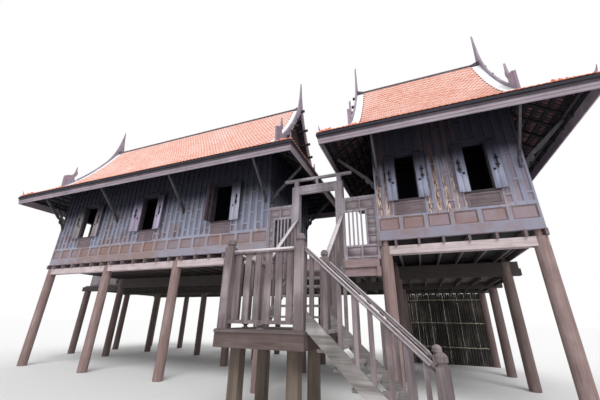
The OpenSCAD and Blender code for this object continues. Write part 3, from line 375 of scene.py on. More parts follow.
class Graph:
    """A short hand for the nodes of one material or group.

    A Mix node has sockets of the same name for numbers and for colours, so its
    colour sockets are known by their places.
    """

    MIX_FIRST = 6
    MIX_SECOND = 7
    MIX_RESULT = 2

    def __init__(self, tree: bpy.types.NodeTree) -> None:
        """Keeps the tree that the nodes go into."""
        self.tree = tree

    def node(self, kind: str, **values: object) -> bpy.types.Node:
        """Adds a node and sets its properties.

        Args:
            kind: The node's type.
            values: The properties by name.

        Returns:
            The new node.
        """
        made = self.tree.nodes.new(kind)
        for name, value in values.items():
            setattr(made, name, value)
        return made

    def join(self, output: Socket, target: Socket) -> None:
        """Links an output to an input."""
        self.tree.links.new(output, target)

    def feed(self, target: Socket, value: object) -> None:
        """Gives an input its value.

        Args:
            target: The input.
            value: An output, a screen colour or a number.
        """
        if isinstance(value, bpy.types.NodeSocket):
            self.join(value, target)
        elif isinstance(value, tuple):
            target.default_value = linear(value)
        else:
            target.default_value = value

    def math(self, operation: str, first: object, second: object = 0.0) -> Socket:
        """Adds a Math node.

        Args:
            operation: What it works out.
            first: An output or a number.
            second: An output or a number.

        Returns:
            The result.
        """
        made = self.node("ShaderNodeMath", operation=operation)
        self.feed(made.inputs[0], first)
        self.feed(made.inputs[1], second)
        return made.outputs[0]

    def times(self, first: object, second: object) -> Socket:
        """Multiplies two values."""
        return self.math("MULTIPLY", first, second)

    def ramp(self, value: Socket, low: float, high: float) -> Socket:
        """Stretches a value between low and high to 0 and 1, with soft ends.

        Args:
            value: The value.
            low: Where it gives 0.
            high: Where it gives 1.

        Returns:
            The stretched value.
        """
        made = self.node("ShaderNodeMapRange", interpolation_type="SMOOTHSTEP")
        made.inputs["From Min"].default_value = low
        made.inputs["From Max"].default_value = high
        self.join(value, made.inputs["Value"])
        return made.outputs["Result"]

    def fall(self, value: Socket, low: float, high: float) -> Socket:
        """Gives 1 up to low and 0 from high on, with soft ends."""
        return self.math("SUBTRACT", 1.0, self.ramp(value, low, high))

    def mix(self, mask: object, first: object, second: object) -> Socket:
        """Mixes two colours.

        Args:
            mask: How much of the second shows, an output or a number.
            first: The first colour, an output or a screen colour.
            second: The second colour, an output or a screen colour.

        Returns:
            The mixed colour.
        """
        made = self.node("ShaderNodeMix", data_type="RGBA")
        self.feed(made.inputs[0], mask)
        self.feed(made.inputs[self.MIX_FIRST], first)
        self.feed(made.inputs[self.MIX_SECOND], second)
        return made.outputs[self.MIX_RESULT]

    def noise(self, vector: Socket, scale: float, detail: float) -> Socket:
        """Adds a noise texture on a vector.

        Args:
            vector: The place that it reads.
            scale: How many lumps it has in a metre.
            detail: How many finer layers it has.

        Returns:
            The noise, about 0.5 on the whole.
        """
        made = self.node("ShaderNodeTexNoise")
        made.inputs["Scale"].default_value = scale
        made.inputs["Detail"].default_value = detail
        self.join(vector, made.inputs["Vector"])
        return made.outputs["Fac"]

    def patches(self, vector: Socket, kind: Patches) -> Socket:
        """Adds soft patches on a vector."""
        return self.ramp(self.noise(vector, kind.scale, kind.detail), kind.low, kind.high)

    def moved(self, operation: str, vector: Socket, amounts: Triple) -> Socket:
        """Works on a vector with an amount for each axis.

        Args:
            operation: MULTIPLY to stretch it, or SNAP to put it on a grid.
            vector: The vector.
            amounts: The factors or the steps along X, Y and Z.

        Returns:
            The new vector.
        """
        made = self.node("ShaderNodeVectorMath", operation=operation)
        made.inputs[1].default_value = amounts
        self.join(vector, made.inputs[0])
        return made.outputs[0]

    def split(self, vector: Socket) -> bpy.types.bpy_prop_collection:
        """Splits a vector.

        Args:
            vector: The vector.

        Returns:
            Its X, Y and Z as three outputs.
        """
        made = self.node("ShaderNodeSeparateXYZ")
        self.join(vector, made.inputs[0])
        return made.outputs

    def effect(self, group: "Effect", vector: Socket) -> bpy.types.bpy_prop_collection:
        """Places one of the shared groups on a vector.

        Args:
            group: The group.
            vector: The place that it reads.

        Returns:
            The group's outputs, by name.
        """
        made = self.node("ShaderNodeGroup", node_tree=group.tree())
        self.join(vector, made.inputs["Vector"])
        return made.outputs


class Effect:
    """A node group that several materials share, and that is made once."""

    name: str
    outputs: tuple[str, ...]

    def tree(self) -> bpy.types.NodeTree:
        """Finds the group, or makes it the first time.

        Returns:
            The group, with a vector as its input.
        """
        known = bpy.data.node_groups.get(self.name)
        if known is not None:
            return known
        made = bpy.data.node_groups.new(self.name, "ShaderNodeTree")
        made.interface.new_socket("Vector", in_out="INPUT", socket_type="NodeSocketVector")
        for output in self.outputs:
            made.interface.new_socket(output, in_out="OUTPUT", socket_type="NodeSocketFloat")
        graph = Graph(made)
        start = graph.node("NodeGroupInput")
        end = graph.node("NodeGroupOutput")
        for name, value in self.build(graph, start.outputs["Vector"]).items():
            graph.join(value, end.inputs[name])
        return made

    def build(self, graph: Graph, vector: Socket) -> dict[str, Socket]:
        """Adds the group's nodes and returns the value of each output."""
        raise NotImplementedError


@dataclass(frozen=True)
class WoodGrain(Effect):
    """Wood fibres that run along the vector's Z."""

    name: str = "wood_grain"
    outputs: tuple[str, ...] = ("Streaks", "Bands", "Patches", "Relief")
    squeeze: Triple = (1.0, 1.0, 0.06)
    cracks: Patches = Patches(90.0, 2.0, 0.60, 0.72)
    patches: Patches = Patches(1.7, 5.0, 0.38, 0.66)
    bands: Patches = Patches(9.0, 3.0, 0.35, 0.65)
    streaks: Patches = Patches(38.0, 6.0, 0.30, 0.70)
    streak_relief: float = 0.6

    def build(self, graph: Graph, vector: Socket) -> dict[str, Socket]:
        """Adds the nodes of the fibres.

        The streaks and the bands are noise squeezed along the fibres, the
        patches are plain noise, and the relief is the streaks less fine cracks.

        Args:
            graph: The group's graph.
            vector: The place on the piece, with the fibres along Z.

        Returns:
            The value of each output by its name.
        """
        along = graph.moved("MULTIPLY", vector, self.squeeze)
        fibres = graph.noise(along, self.streaks.scale, self.streaks.detail)
        cracks = graph.patches(along, self.cracks)
        return {
            "Streaks": graph.ramp(fibres, self.streaks.low, self.streaks.high),
            "Bands": graph.patches(along, self.bands),
            "Patches": graph.patches(vector, self.patches),
            "Relief": graph.math("SUBTRACT", graph.times(fibres, self.streak_relief), cracks),
        }


@dataclass(frozen=True)
class Grime(Effect):
    """Dirt that runs softly down a face."""

    name: str = "grime"
    outputs: tuple[str, ...] = ("Runs",)
    stretch: Triple = (1.0, 1.0, 0.12)
    runs: Patches = Patches(3.2, 6.0, 0.48, 0.72)

    def build(self, graph: Graph, vector: Socket) -> dict[str, Socket]:
        """Adds patches that are stretched upwards."""
        down = graph.moved("MULTIPLY", vector, self.stretch)
        return {"Runs": graph.patches(down, self.runs)}


GRAIN = WoodGrain()
GRIME = Grime()
BUMP_STRENGTH = 0.6


class Finish:
    """What every finish has: a name and a material that is made once."""

    name: str
    roughness: float

    def material(self) -> bpy.types.Material:
        """Finds this finish's material, or makes it the first time.

        Returns:
            The material.
        """
        known = bpy.data.materials.get(self.name)
        if known is not None:
            return known
        made = bpy.data.materials.new(self.name)
        made.use_nodes = True
        made.node_tree.nodes.clear()
        graph = Graph(made.node_tree)
        shader = graph.node("ShaderNodeBsdfPrincipled")
        output = graph.node("ShaderNodeOutputMaterial")
        graph.join(shader.outputs[0], output.inputs[0])
        shader.inputs["Roughness"].default_value = self.roughness
        self.dress(graph, shader)
        return made

    def dress(self, graph: Graph, shader: bpy.types.Node) -> None:
        """Adds the nodes that give the shader its colour and relief."""
        raise NotImplementedError

    def place(self, graph: Graph) -> Socket:
        """Returns the point on the piece, in metres."""
        return graph.node("ShaderNodeTexCoord").outputs["Object"]

    def bump(self, graph: Graph, shader: bpy.types.Node, height: Socket, depth: float) -> None:
        """Gives the shader a relief.

        Args:
            graph: The material's graph.
            shader: The shader.
            height: The relief.
            depth: What a height of 1 is in metres.
        """
        made = graph.node("ShaderNodeBump")
        made.inputs["Strength"].default_value = BUMP_STRENGTH
        made.inputs["Distance"].default_value = depth
        graph.join(height, made.inputs["Height"])
        graph.join(made.outputs[0], shader.inputs["Normal"])


@dataclass(frozen=True)
class DimPlaces:
    """Where the light hardly reaches, in the frame of the model.

    The rows at the back grow dark between two depths, and the walls grow dark
    from a height that each finish states up to just under the eaves.
    """

    rows: Pair = (-1.6, 0.3)
    row_colour: Colour = (0.20, 0.175, 0.165)
    eave: float = 5.4
    eave_colour: Colour = (0.085, 0.08, 0.16)


DIM = DimPlaces()


@dataclass(frozen=True)
class OldWood(Finish):
    """Weathered timber: streaks along the fibres, worn patches and dirt.

    The board is the width at which the tone changes. The eave shade is how dark the painted shade makes the
    wood above its starting height, up under the eaves, and back how dark the painted shade makes it at the
    back.
    """

    name: str
    main: Colour
    dark: Colour
    worn: Colour
    grain: Grain = Grain.Z
    wear: float = 0.5
    roughness: float = 0.8
    board: float = 0.0
    # Painted shade: how dark the wood grows up under the eaves, the height it starts from, and how dark it
    # grows at the back.
    eave_shade: float = 0.0
    eave_shade_from: float = 4.55
    back: float = 0.0
    streaks: float = 0.55
    dirt: float = 0.35
    board_tone: float = 0.45
    board_length: float = 40.0
    relief: float = 0.004

    def dress(self, graph: Graph, shader: bpy.types.Node) -> None:
        """Mixes the main colour with dark streaks, pale patches and dirt.

        Args:
            graph: The material's graph.
            shader: Its shader.
        """
        place = self.place(graph)
        turned = self.along(graph, place)
        grain = graph.effect(GRAIN, turned)
        base = graph.mix(graph.times(grain["Streaks"], self.streaks), self.main, self.dark)
        patches = graph.times(grain["Patches"], grain["Bands"])
        worn = graph.mix(graph.times(patches, self.wear), base, self.worn)
        runs = graph.effect(GRIME, place)["Runs"]
        colour = graph.mix(graph.times(runs, self.dirt), worn, self.dark)
        if self.board > 0.0:
            colour = self.by_board(graph, turned, colour)
        colour = self.by_place(graph, place, colour)
        graph.join(colour, shader.inputs["Base Color"])
        self.bump(graph, shader, grain["Relief"], self.relief)

    def along(self, graph: Graph, place: Socket) -> Socket:
        """Swaps the axes so that the fibres run along Z.

        Args:
            graph: The material's graph.
            place: The point on the piece.

        Returns:
            The point with its axes swapped.
        """
        if self.grain is Grain.Z:
            return place
        parts = graph.split(place)
        merge = graph.node("ShaderNodeCombineXYZ")
        order = (2, 1, 0) if self.grain is Grain.X else (0, 2, 1)
        for target, source in enumerate(order):
            graph.join(parts[source], merge.inputs[target])
        return merge.outputs[0]

    def by_board(self, graph: Graph, turned: Socket, colour: Socket) -> Socket:
        """Darkens each board of the stated width by an amount left to chance.

        Args:
            graph: The material's graph.
            turned: The point on the piece, with the fibres along Z.
            colour: The colour so far.

        Returns:
            The new colour.
        """
        one_board = graph.moved("SNAP", turned, (self.board, self.board, self.board_length))
        chance = graph.node("ShaderNodeTexWhiteNoise")
        graph.join(one_board, chance.inputs["Vector"])
        return graph.mix(graph.times(chance.outputs["Value"], self.board_tone), colour, self.dark)

    def by_place(self, graph: Graph, place: Socket, colour: Socket) -> Socket:
        """Paints shade: darkens the rows at the back and the wood up under the eaves.

        Args:
            graph: The material's graph.
            place: The point on the piece.
            colour: The colour so far.

        Returns:
            The new colour.
        """
        _, depth, height = graph.split(place)
        # Painted shade on the rows at the back.
        if self.back > 0.0:
            behind = graph.times(graph.ramp(depth, *DIM.rows), self.back)
            colour = graph.mix(behind, colour, DIM.row_colour)
        # Painted shade on the wood from its starting height up to just under the eaves.
        if self.eave_shade > 0.0:
            above = graph.times(graph.ramp(height, self.eave_shade_from, DIM.eave), self.eave_shade)
            colour = graph.mix(above, colour, DIM.eave_colour)
        return colour


@dataclass(frozen=True)
class BareStreaks:
    """Streaks where the old coat has come off the front of a wall.

    They lie in bands along the front, each with a middle and half a width in the frame of the model. Every
    board has a stripe of them, counted from one stripe's middle, and higher up their bare wood is darkened
    with painted shade from the eaves.
    """

    bands: tuple[Pair, ...] = ((5.22, 0.16), (6.66, 0.40))
    band_edge: float = 0.04
    stripe: float = 5.18
    half_step: float = 0.094
    stripe_edge: Pair = (0.035, 0.055)
    stretch: Triple = (1.6, 1.0, 0.16)
    torn: Patches = Patches(9.0, 5.0, 0.36, 0.43)
    flecks: Patches = Patches(40.0, 4.0, 0.47, 0.55)
    foot: Pair = (3.86, 3.90)
    # Painted shade on the bare wood grows between these two heights.
    wood_shade_from: Pair = (4.45, 5.15)
    coat: Colour = (0.46, 0.35, 0.33)
    wood: Colour = (0.93, 0.83, 0.75)
    # The dark colour of the bare wood in the painted shade.
    wood_in_shade: Colour = (0.26, 0.18, 0.18)

    def show(self, graph: Graph, place: Socket, colour: Socket, peel: float) -> Socket:
        """Adds the streaks to a colour.

        Their edges are noise that is stretched upwards, and finer noise of the
        same kind mixes old coat and bare wood in them.

        Args:
            graph: The material's graph.
            place: The point on the piece.
            colour: The colour so far.
            peel: How much of the coat is off, from 0 to 1.

        Returns:
            The new colour.
        """
        across, _, height = graph.split(place)
        run = graph.moved("MULTIPLY", place, self.stretch)
        band: object = 0.0
        for middle, half in self.bands:
            off = graph.math("ABSOLUTE", graph.math("SUBTRACT", across, middle))
            band = graph.math("MAXIMUM", graph.fall(off, half, half + self.band_edge), band)
        wave = graph.math("PINGPONG", graph.math("SUBTRACT", across, self.stripe), self.half_step)
        torn = graph.times(graph.patches(run, self.torn), graph.fall(wave, *self.stripe_edge))
        bare = graph.mix(graph.patches(run, self.flecks), self.coat, self.wood)
        # Painted shade: higher up the bare wood is darkened.
        bare = graph.mix(graph.ramp(height, *self.wood_shade_from), bare, self.wood_in_shade)
        above = graph.times(graph.ramp(height, *self.foot), peel)
        return graph.mix(graph.times(graph.times(torn, band), above), colour, bare)


@dataclass(frozen=True)
class WallBand:
    """A level band along the foot of a wall, with a colour of its own.

    It reaches up to a soft edge between two heights. Show is how strong its
    colour is, and faded how much of the faded colour lies over it.
    """

    top: Pair
    show: float
    faded: float


@dataclass(frozen=True)
class WallWood(OldWood):
    """Wall timber: a foot board, a row of squares and faded patches above.

    The tone is the faded colour. Cold and right are how much more of it shows
    towards the eaves and towards the right, each from one place to another in
    the frame of the model.
    """

    tone: Colour = (0.45, 0.47, 0.54)
    square: Colour = (0.55, 0.45, 0.44)
    foot: Colour = (0.56, 0.50, 0.52)
    peel: float = 0.0
    cold: float = 0.12
    cold_from: Pair = (4.0, 4.7)
    right: float = 0.08
    right_from: Pair = (-4.5, 1.5)
    clouds: Patches = Patches(1.5, 4.0, 0.46, 0.64)
    faded: float = 0.65
    squares_band: WallBand = WallBand((3.86, 3.88), 0.8, 0.35)
    foot_band: WallBand = WallBand((3.53, 3.55), 0.75, 0.5)

    def by_place(self, graph: Graph, place: Socket, colour: Socket) -> Socket:
        """Colours the foot, the squares, the faded patches and bare streaks.

        Args:
            graph: The material's graph.
            place: The point on the piece.
            colour: The colour so far.

        Returns:
            The new colour.
        """
        across, _, height = graph.split(place)
        cold = graph.times(graph.ramp(height, *self.cold_from), self.cold)
        right = graph.times(graph.ramp(across, *self.right_from), self.right)
        cloud = graph.noise(place, self.clouds.scale, self.clouds.detail)
        cloud = graph.math("ADD", cloud, graph.math("ADD", cold, right))
        faded = graph.ramp(cloud, self.clouds.low, self.clouds.high)
        colour = graph.mix(graph.times(faded, self.faded), colour, self.tone)
        for band, paint in ((self.squares_band, self.square), (self.foot_band, self.foot)):
            low = graph.times(graph.fall(height, *band.top), band.show)
            own = graph.mix(graph.times(faded, band.faded), paint, self.tone)
            colour = graph.mix(low, colour, own)
        # Painted shade at the back and up under the eaves.
        colour = super().by_place(graph, place, colour)
        return BareStreaks().show(graph, place, colour, self.peel) if self.peel > 0.0 else colour


@dataclass(frozen=True)
class ClayTile(Finish):
    """Fired clay: a colour for each tile, pale bloom, soot and a darker band, part painted shadow and part
    dirt, under the edges of the course above.

    Joint is how strong the darker band under the pointed edges of the course above is, part painted shadow
    and part dirt, and eave the height up to which the lowest course is more orange. At 0 a tile has neither.
    """

    name: str
    main: Colour
    deep: Colour
    bloom: Colour
    soot: float = 0.15
    joint: float = 0.0
    eave: float = 0.0
    roughness: float = 0.85
    blooms: Patches = Patches(1.1, 6.0, 0.42, 0.68)
    bloom_strength: float = 0.5
    spots: Patches = Patches(7.0, 5.0, 0.56, 0.74)
    soot_colour: Colour = (0.28, 0.18, 0.15)
    # The darker band under the edges of the course above: part painted shadow, part dirt.
    edge_shadow_and_dirt_colour: Colour = (0.93, 0.53, 0.41)
    edge_shadow_and_dirt_slope: float = 1.4
    edge_shadow_and_dirt_width: float = 0.05
    eave_colour: Colour = (0.99, 0.62, 0.47)
    eave_height: float = 0.09
    eave_strength: float = 0.85
    pores: Pair = (120.0, 3.0)
    relief: float = 0.0015

    def dress(self, graph: Graph, shader: bpy.types.Node) -> None:
        """Mixes the clay's colours by each tile's tint, by noise and by joints.

        Args:
            graph: The material's graph.
            shader: Its shader.
        """
        place = self.place(graph)
        tint = graph.node("ShaderNodeAttribute", attribute_name="tint")
        base = graph.mix(tint.outputs["Fac"], self.main, self.deep)
        bloom = graph.times(graph.patches(place, self.blooms), self.bloom_strength)
        soot = graph.times(graph.patches(place, self.spots), self.soot)
        colour = graph.mix(soot, graph.mix(bloom, base, self.bloom), self.soot_colour)
        # Painted shadow and dirt: a darker band under the pointed edges of the course above.
        if self.joint > 0.0:
            colour = graph.mix(graph.times(self.edge_shadow_and_dirt_band(graph), self.joint), colour, self.edge_shadow_and_dirt_colour)
        if self.eave > 0.0:
            low = graph.fall(graph.split(place)["Z"], self.eave, self.eave + self.eave_height)
            colour = graph.mix(graph.times(low, self.eave_strength), colour, self.eave_colour)
        graph.join(colour, shader.inputs["Base Color"])
        self.bump(graph, shader, graph.noise(place, *self.pores), self.relief)

    def edge_shadow_and_dirt_band(self, graph: Graph) -> Socket:
        """Finds the darker band, part painted shadow and part dirt, along the pointed edges of the course
        above.

        Its distance from them is the place down the tile less a multiple of
        the place across it.

        Args:
            graph: The material's graph.

        Returns:
            1 at the edges and 0 away from them.
        """
        spot = graph.node("ShaderNodeAttribute", attribute_name="spot")
        across, along, _ = graph.split(spot.outputs["Vector"])
        aside = graph.times(graph.math("ABSOLUTE", across), self.edge_shadow_and_dirt_slope)
        return graph.fall(graph.math("SUBTRACT", along, aside), 0.0, self.edge_shadow_and_dirt_width)


@dataclass(frozen=True)
class Plaster(Finish):
    """Lime plaster with faint stains that run down."""

    name: str
    main: Colour
    stain: Colour
    roughness: float = 0.75
    stains: float = 0.4
    pores: Pair = (35.0, 4.0)
    relief: float = 0.002

    def dress(self, graph: Graph, shader: bpy.types.Node) -> None:
        """Mixes the plaster with stains that run downwards.

        Args:
            graph: The material's graph.
            shader: Its shader.
        """
        place = self.place(graph)
        runs = graph.effect(GRIME, place)["Runs"]
        stained = graph.mix(graph.times(runs, self.stains), self.main, self.stain)
        graph.join(stained, shader.inputs["Base Color"])
        self.bump(graph, shader, graph.noise(place, *self.pores), self.relief)


# In these finishes, back sets how much painted shade darkens the rows at the back, and the eave fields set
# how much painted shade darkens the wood up under the eaves.
POST = OldWood("post_paint", (0.59, 0.50, 0.49), (0.41, 0.33, 0.31), (0.70, 0.62, 0.61), wear=0.6, back=0.5)
LEG = OldWood("leg_wood", (0.44, 0.39, 0.35), (0.27, 0.23, 0.20), (0.54, 0.48, 0.43), wear=0.6)
BEAM = OldWood(
    "pale_beam", (0.81, 0.75, 0.76), (0.62, 0.55, 0.55), (0.88, 0.83, 0.84), Grain.X, back=0.97,
)
PASSAGE = OldWood(
    "passage_beam", (0.64, 0.55, 0.56), (0.46, 0.38, 0.38), (0.74, 0.66, 0.67), Grain.X, back=0.9,
)
JOIST = OldWood("joist", (0.48, 0.42, 0.44), (0.32, 0.27, 0.28), (0.60, 0.56, 0.58), Grain.Y, back=0.9)
# Painted shade: near black for the floor undersides, risers and roof timbers that stand in shade.
UNDERSIDE_SHADE = OldWood("underside", (0.10, 0.09, 0.10), (0.05, 0.045, 0.05), (0.16, 0.15, 0.17), Grain.X)
LEFT_WALL = WallWood(
    "left_wall_board", (0.53, 0.46, 0.48), (0.25, 0.21, 0.24), (0.65, 0.60, 0.63), wear=0.8, eave_shade_from=4.65,
    eave_shade=0.96, board=0.21, tone=(0.55, 0.58, 0.67), square=(0.59, 0.47, 0.44), foot=(0.56, 0.48, 0.47),
)
LEFT_STILE = WallWood(
    "left_wall_stile", (0.63, 0.57, 0.60), (0.38, 0.35, 0.39), (0.73, 0.69, 0.73), wear=0.8, eave_shade_from=4.65,
    eave_shade=0.96, tone=(0.62, 0.66, 0.76), square=(0.62, 0.54, 0.54), foot=(0.56, 0.48, 0.47),
)
RIGHT_WALL = WallWood(
    "right_wall_board", (0.61, 0.53, 0.55), (0.34, 0.29, 0.31), (0.72, 0.66, 0.69), wear=0.8,
    eave_shade=0.96, eave_shade_from=4.93, tone=(0.63, 0.60, 0.67), square=(0.59, 0.48, 0.47), peel=1.0,
)
RIGHT_STILE = WallWood(
    "right_wall_stile", (0.65, 0.60, 0.63), (0.42, 0.38, 0.42), (0.73, 0.70, 0.76), wear=0.8,
    eave_shade=0.96, eave_shade_from=4.93, tone=(0.59, 0.62, 0.72), square=(0.60, 0.55, 0.58), peel=0.6,
)
BEAD = OldWood("panel_bead", (0.62, 0.53, 0.52), (0.44, 0.37, 0.36), (0.70, 0.64, 0.64), Grain.X, wear=0.8)
CARVING = OldWood("carved_board", (0.51, 0.45, 0.47), (0.34, 0.29, 0.31), (0.58, 0.53, 0.56), Grain.X)
GABLE = OldWood("gable_board", (0.24, 0.17, 0.18), (0.14, 0.10, 0.12), (0.34, 0.27, 0.28))
TRIM = OldWood("eave_trim", (0.62, 0.57, 0.61), (0.50, 0.45, 0.49), (0.70, 0.65, 0.69), Grain.X, wear=0.7)
# The ridge caps' colour, and the strips of painted shade on the upper eave boards.
EDGE = OldWood("eave_edge", (0.34, 0.31, 0.34), (0.22, 0.19, 0.21), (0.46, 0.43, 0.46), Grain.X)
# Painted shade: the window frames are made dark for the shade in their jambs and under their hoods.
WINDOW_WOOD_IN_SHADE = OldWood(
    "window_wood_in_shade", (0.30, 0.27, 0.29), (0.18, 0.16, 0.17), (0.42, 0.38, 0.40), Grain.X, eave_shade=0.9, eave_shade_from=4.7,
)
STRUT = OldWood("eave_strut", (0.34, 0.33, 0.35), (0.20, 0.19, 0.21), (0.46, 0.44, 0.46), Grain.Z)
BARGE = OldWood("barge_board", (0.60, 0.55, 0.61), (0.46, 0.41, 0.47), (0.72, 0.68, 0.73), Grain.Z)
SHUTTER = OldWood(
    "shutter", (0.46, 0.43, 0.47), (0.32, 0.29, 0.32), (0.58, 0.54, 0.60), wear=0.8, eave_shade=0.95, eave_shade_from=4.5,
)
LILAC = OldWood(
    "shutter_lilac", (0.84, 0.85, 0.94), (0.60, 0.60, 0.70), (0.92, 0.93, 0.98),
    wear=0.8, eave_shade=0.9, eave_shade_from=4.9,
)
MAUVE = OldWood(
    "shutter_mauve", (0.80, 0.75, 0.87), (0.58, 0.53, 0.62), (0.88, 0.85, 0.95),
    wear=0.8, eave_shade=0.9, eave_shade_from=4.9,
)
SLATE = OldWood(
    "shutter_slate", (0.68, 0.70, 0.80), (0.46, 0.47, 0.56), (0.80, 0.82, 0.92), wear=0.8, eave_shade=0.95,
)
DUSK = OldWood(
    "shutter_dusk", (0.66, 0.63, 0.65), (0.43, 0.41, 0.43), (0.76, 0.73, 0.76),
    wear=0.8, eave_shade=0.9, eave_shade_from=4.8,
)
SHADE = OldWood("shutter_shade", (0.36, 0.31, 0.35), (0.20, 0.16, 0.19), (0.50, 0.45, 0.50), wear=0.6)
STAIR = OldWood("stair_timber", (0.60, 0.57, 0.57), (0.40, 0.38, 0.38), (0.74, 0.70, 0.71), Grain.X)
STRINGER = OldWood(
    "stringer_board", (0.53, 0.51, 0.50), (0.28, 0.27, 0.25), (0.72, 0.70, 0.70), Grain.X, wear=0.9,
)
FRAME = OldWood("landing_timber", (0.38, 0.32, 0.31), (0.24, 0.20, 0.19), (0.48, 0.43, 0.41), Grain.X)
RAIL = OldWood("stair_rail", (0.47, 0.42, 0.43), (0.27, 0.24, 0.25), (0.64, 0.59, 0.60), Grain.Z, wear=0.8)
# Painted highlight: the pale tops of the rails, where the light falls on them.
RAIL_HIGHLIGHT = OldWood("rail_top_highlight", (0.86, 0.83, 0.85), (0.66, 0.62, 0.64), (0.94, 0.92, 0.94), Grain.X)
GATE = OldWood("gate_wood", (0.66, 0.63, 0.66), (0.44, 0.40, 0.43), (0.76, 0.73, 0.76), Grain.Z, wear=0.7)
SUNK = OldWood("sunk_panel", (0.62, 0.57, 0.59), (0.40, 0.35, 0.36), (0.69, 0.65, 0.68), Grain.X)
LOGS = OldWood("screen_log", (0.20, 0.18, 0.17), (0.05, 0.05, 0.05), (0.46, 0.43, 0.38), Grain.Z, wear=0.8)
STICK = OldWood("screen_stick", (0.80, 0.79, 0.68), (0.40, 0.39, 0.33), (0.92, 0.92, 0.84), Grain.Z)
DECK = OldWood("deck_board", (0.42, 0.37, 0.37), (0.28, 0.24, 0.24), (0.54, 0.49, 0.49), Grain.X, board=0.15)
IRON = OldWood("latch_iron", (0.10, 0.09, 0.11), (0.06, 0.05, 0.06), (0.20, 0.17, 0.18), roughness=0.55)
LEFT_TILE = ClayTile(
    "left_roof_tile", (0.99, 0.86, 0.82), (0.95, 0.77, 0.71), (1.00, 0.91, 0.89), soot=0.03, joint=0.65,
)
RIGHT_TILE = ClayTile(
    "right_roof_tile", (0.97, 0.84, 0.79), (0.93, 0.72, 0.65), (1.00, 0.90, 0.87), soot=0.06, joint=0.8,
)
SKIRT_TILE = ClayTile(
    "skirt_tile", (0.99, 0.83, 0.78), (0.95, 0.71, 0.62), (1.00, 0.88, 0.84),
    soot=0.10, joint=0.8, eave=5.90,
)
# Painted shade: the tile backs under the eaves keep a little of their clay colour and are darkened, with
# heavy dark patches.
LEFT_BACK = ClayTile("left_tile_back", (0.34, 0.34, 0.37), (0.12, 0.13, 0.16), (0.40, 0.40, 0.42), soot=0.5)
RIGHT_BACK = ClayTile("right_tile_back", (0.50, 0.33, 0.33), (0.14, 0.13, 0.18), (0.40, 0.28, 0.30), soot=0.6)
# Painted shade: the tile bed, seen from under the eaves, is made dark blue.
SLAB_IN_SHADE = ClayTile("tile_bed_in_shade", (0.13, 0.12, 0.17), (0.09, 0.085, 0.13), (0.17, 0.15, 0.21))
LIME = Plaster("lime_plaster", (0.93, 0.94, 0.96), (0.78, 0.77, 0.79))

CAD_FINISHES: dict[str, Finish] = {
    "house_posts": POST,
    "terrace_posts": POST,
    "landing_legs": LEG,
    "floor_beams": BEAM,
    "terrace_beams": BEAM,
    "passage_beams": PASSAGE,
    "floor_joists": JOIST,
    "terrace_joists": JOIST,
    "house_floors": UNDERSIDE_SHADE,
    "terrace_deck": DECK,
    "riser_boards": UNDERSIDE_SHADE,
    "left_front_wall": LEFT_WALL,
    "left_back_wall": LEFT_WALL,
    "left_end_walls": LEFT_WALL,
    "right_front_wall": RIGHT_WALL,
    "right_back_wall": RIGHT_WALL,
    "right_end_walls": RIGHT_WALL,
    "left_wall_frames": LEFT_STILE,
    "right_wall_frames": RIGHT_STILE,
    "window_frames": WINDOW_WOOD_IN_SHADE,
    "window_aprons": CARVING,
    "window_shutters": SHUTTER,
    "gables": GABLE,
    "left_main_roof": SLAB_IN_SHADE,
    "right_main_roof": SLAB_IN_SHADE,
    "left_skirt_roof": SLAB_IN_SHADE,
    "right_skirt_roof": SLAB_IN_SHADE,
    "fascias": TRIM,
    "ridge_caps": EDGE,
    "verge_bands": LIME,
    "left_barge_boards": BARGE,
    "right_barge_boards": BARGE,
    "roof_purlins": UNDERSIDE_SHADE,
    "eave_purlins": UNDERSIDE_SHADE,
    "roof_trusses": UNDERSIDE_SHADE,
    "skirt_rafters": UNDERSIDE_SHADE,
    "eave_struts": STRUT,
    "gate_frame": GATE,
    "gate_side_panels": GATE,
    "terrace_parapets": GATE,
    "log_screen": LOGS,
    "landing_frame": FRAME,
    "landing_deck": DECK,
    "stair_newels": RAIL,
    "landing_balustrade": RAIL,
    "stair_stringers": STRINGER,
    "stair_treads": STAIR,
    "stair_rails": RAIL,
}


def dress_frame() -> None:
    """Gives every solid of the frame its finish."""
    for name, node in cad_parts.items():
        node.data.materials.clear()
        node.data.materials.append(CAD_FINISHES[name].material())


@dataclass
class TileCover:
    """Small pointed clay tiles, laid in courses that overlap by half a tile.

    Point is the height of a tile's pointed end, gap what a tile leaves free on
    each side, and tilt how far a tail rises over one course, in thicknesses.
    """

    pitch: float = 0.125
    course: float = 0.100
    length: float = 0.185
    thickness: float = 0.014
    point: float = 0.085
    gap: float = 0.003
    tilt: float = 0.88
    seed: int = 11

    def tile(self) -> tuple[np.ndarray, Faces]:
        """Makes one tile: a strip whose lower end comes to a blunt point.

        Returns:
            The points and the faces of the tile.
        """
        half = self.pitch / 2 - self.gap
        shoulder = self.length - self.point
        outline = [(-half, 0.0), (half, 0.0), (half, shoulder), (0.0, self.length), (-half, shoulder)]
        return prism(np.array(outline), self.thickness)

    def lay(self, shape: Shape, heads: np.ndarray, across: np.ndarray, down: np.ndarray) -> None:
        """Lays one tile at each head.

        A tile is tilted up a little towards its tail, because the tail lies on
        the course below.

        Args:
            shape: Where the tiles go.
            heads: The middle of each tile's upper edge, on the roof.
            across: The direction along the course, for each tile.
            down: The direction down the slope, for each tile.
        """
        lean = unit(down + np.cross(across, down) * self.tilt * self.thickness / self.course)
        turns = np.stack([across, lean, np.cross(across, lean)], axis=2)
        chance = np.random.default_rng(self.seed)
        points, faces = self.tile()
        shape.repeat(points, faces, heads, turns=turns, tints=chance.random(len(heads)))


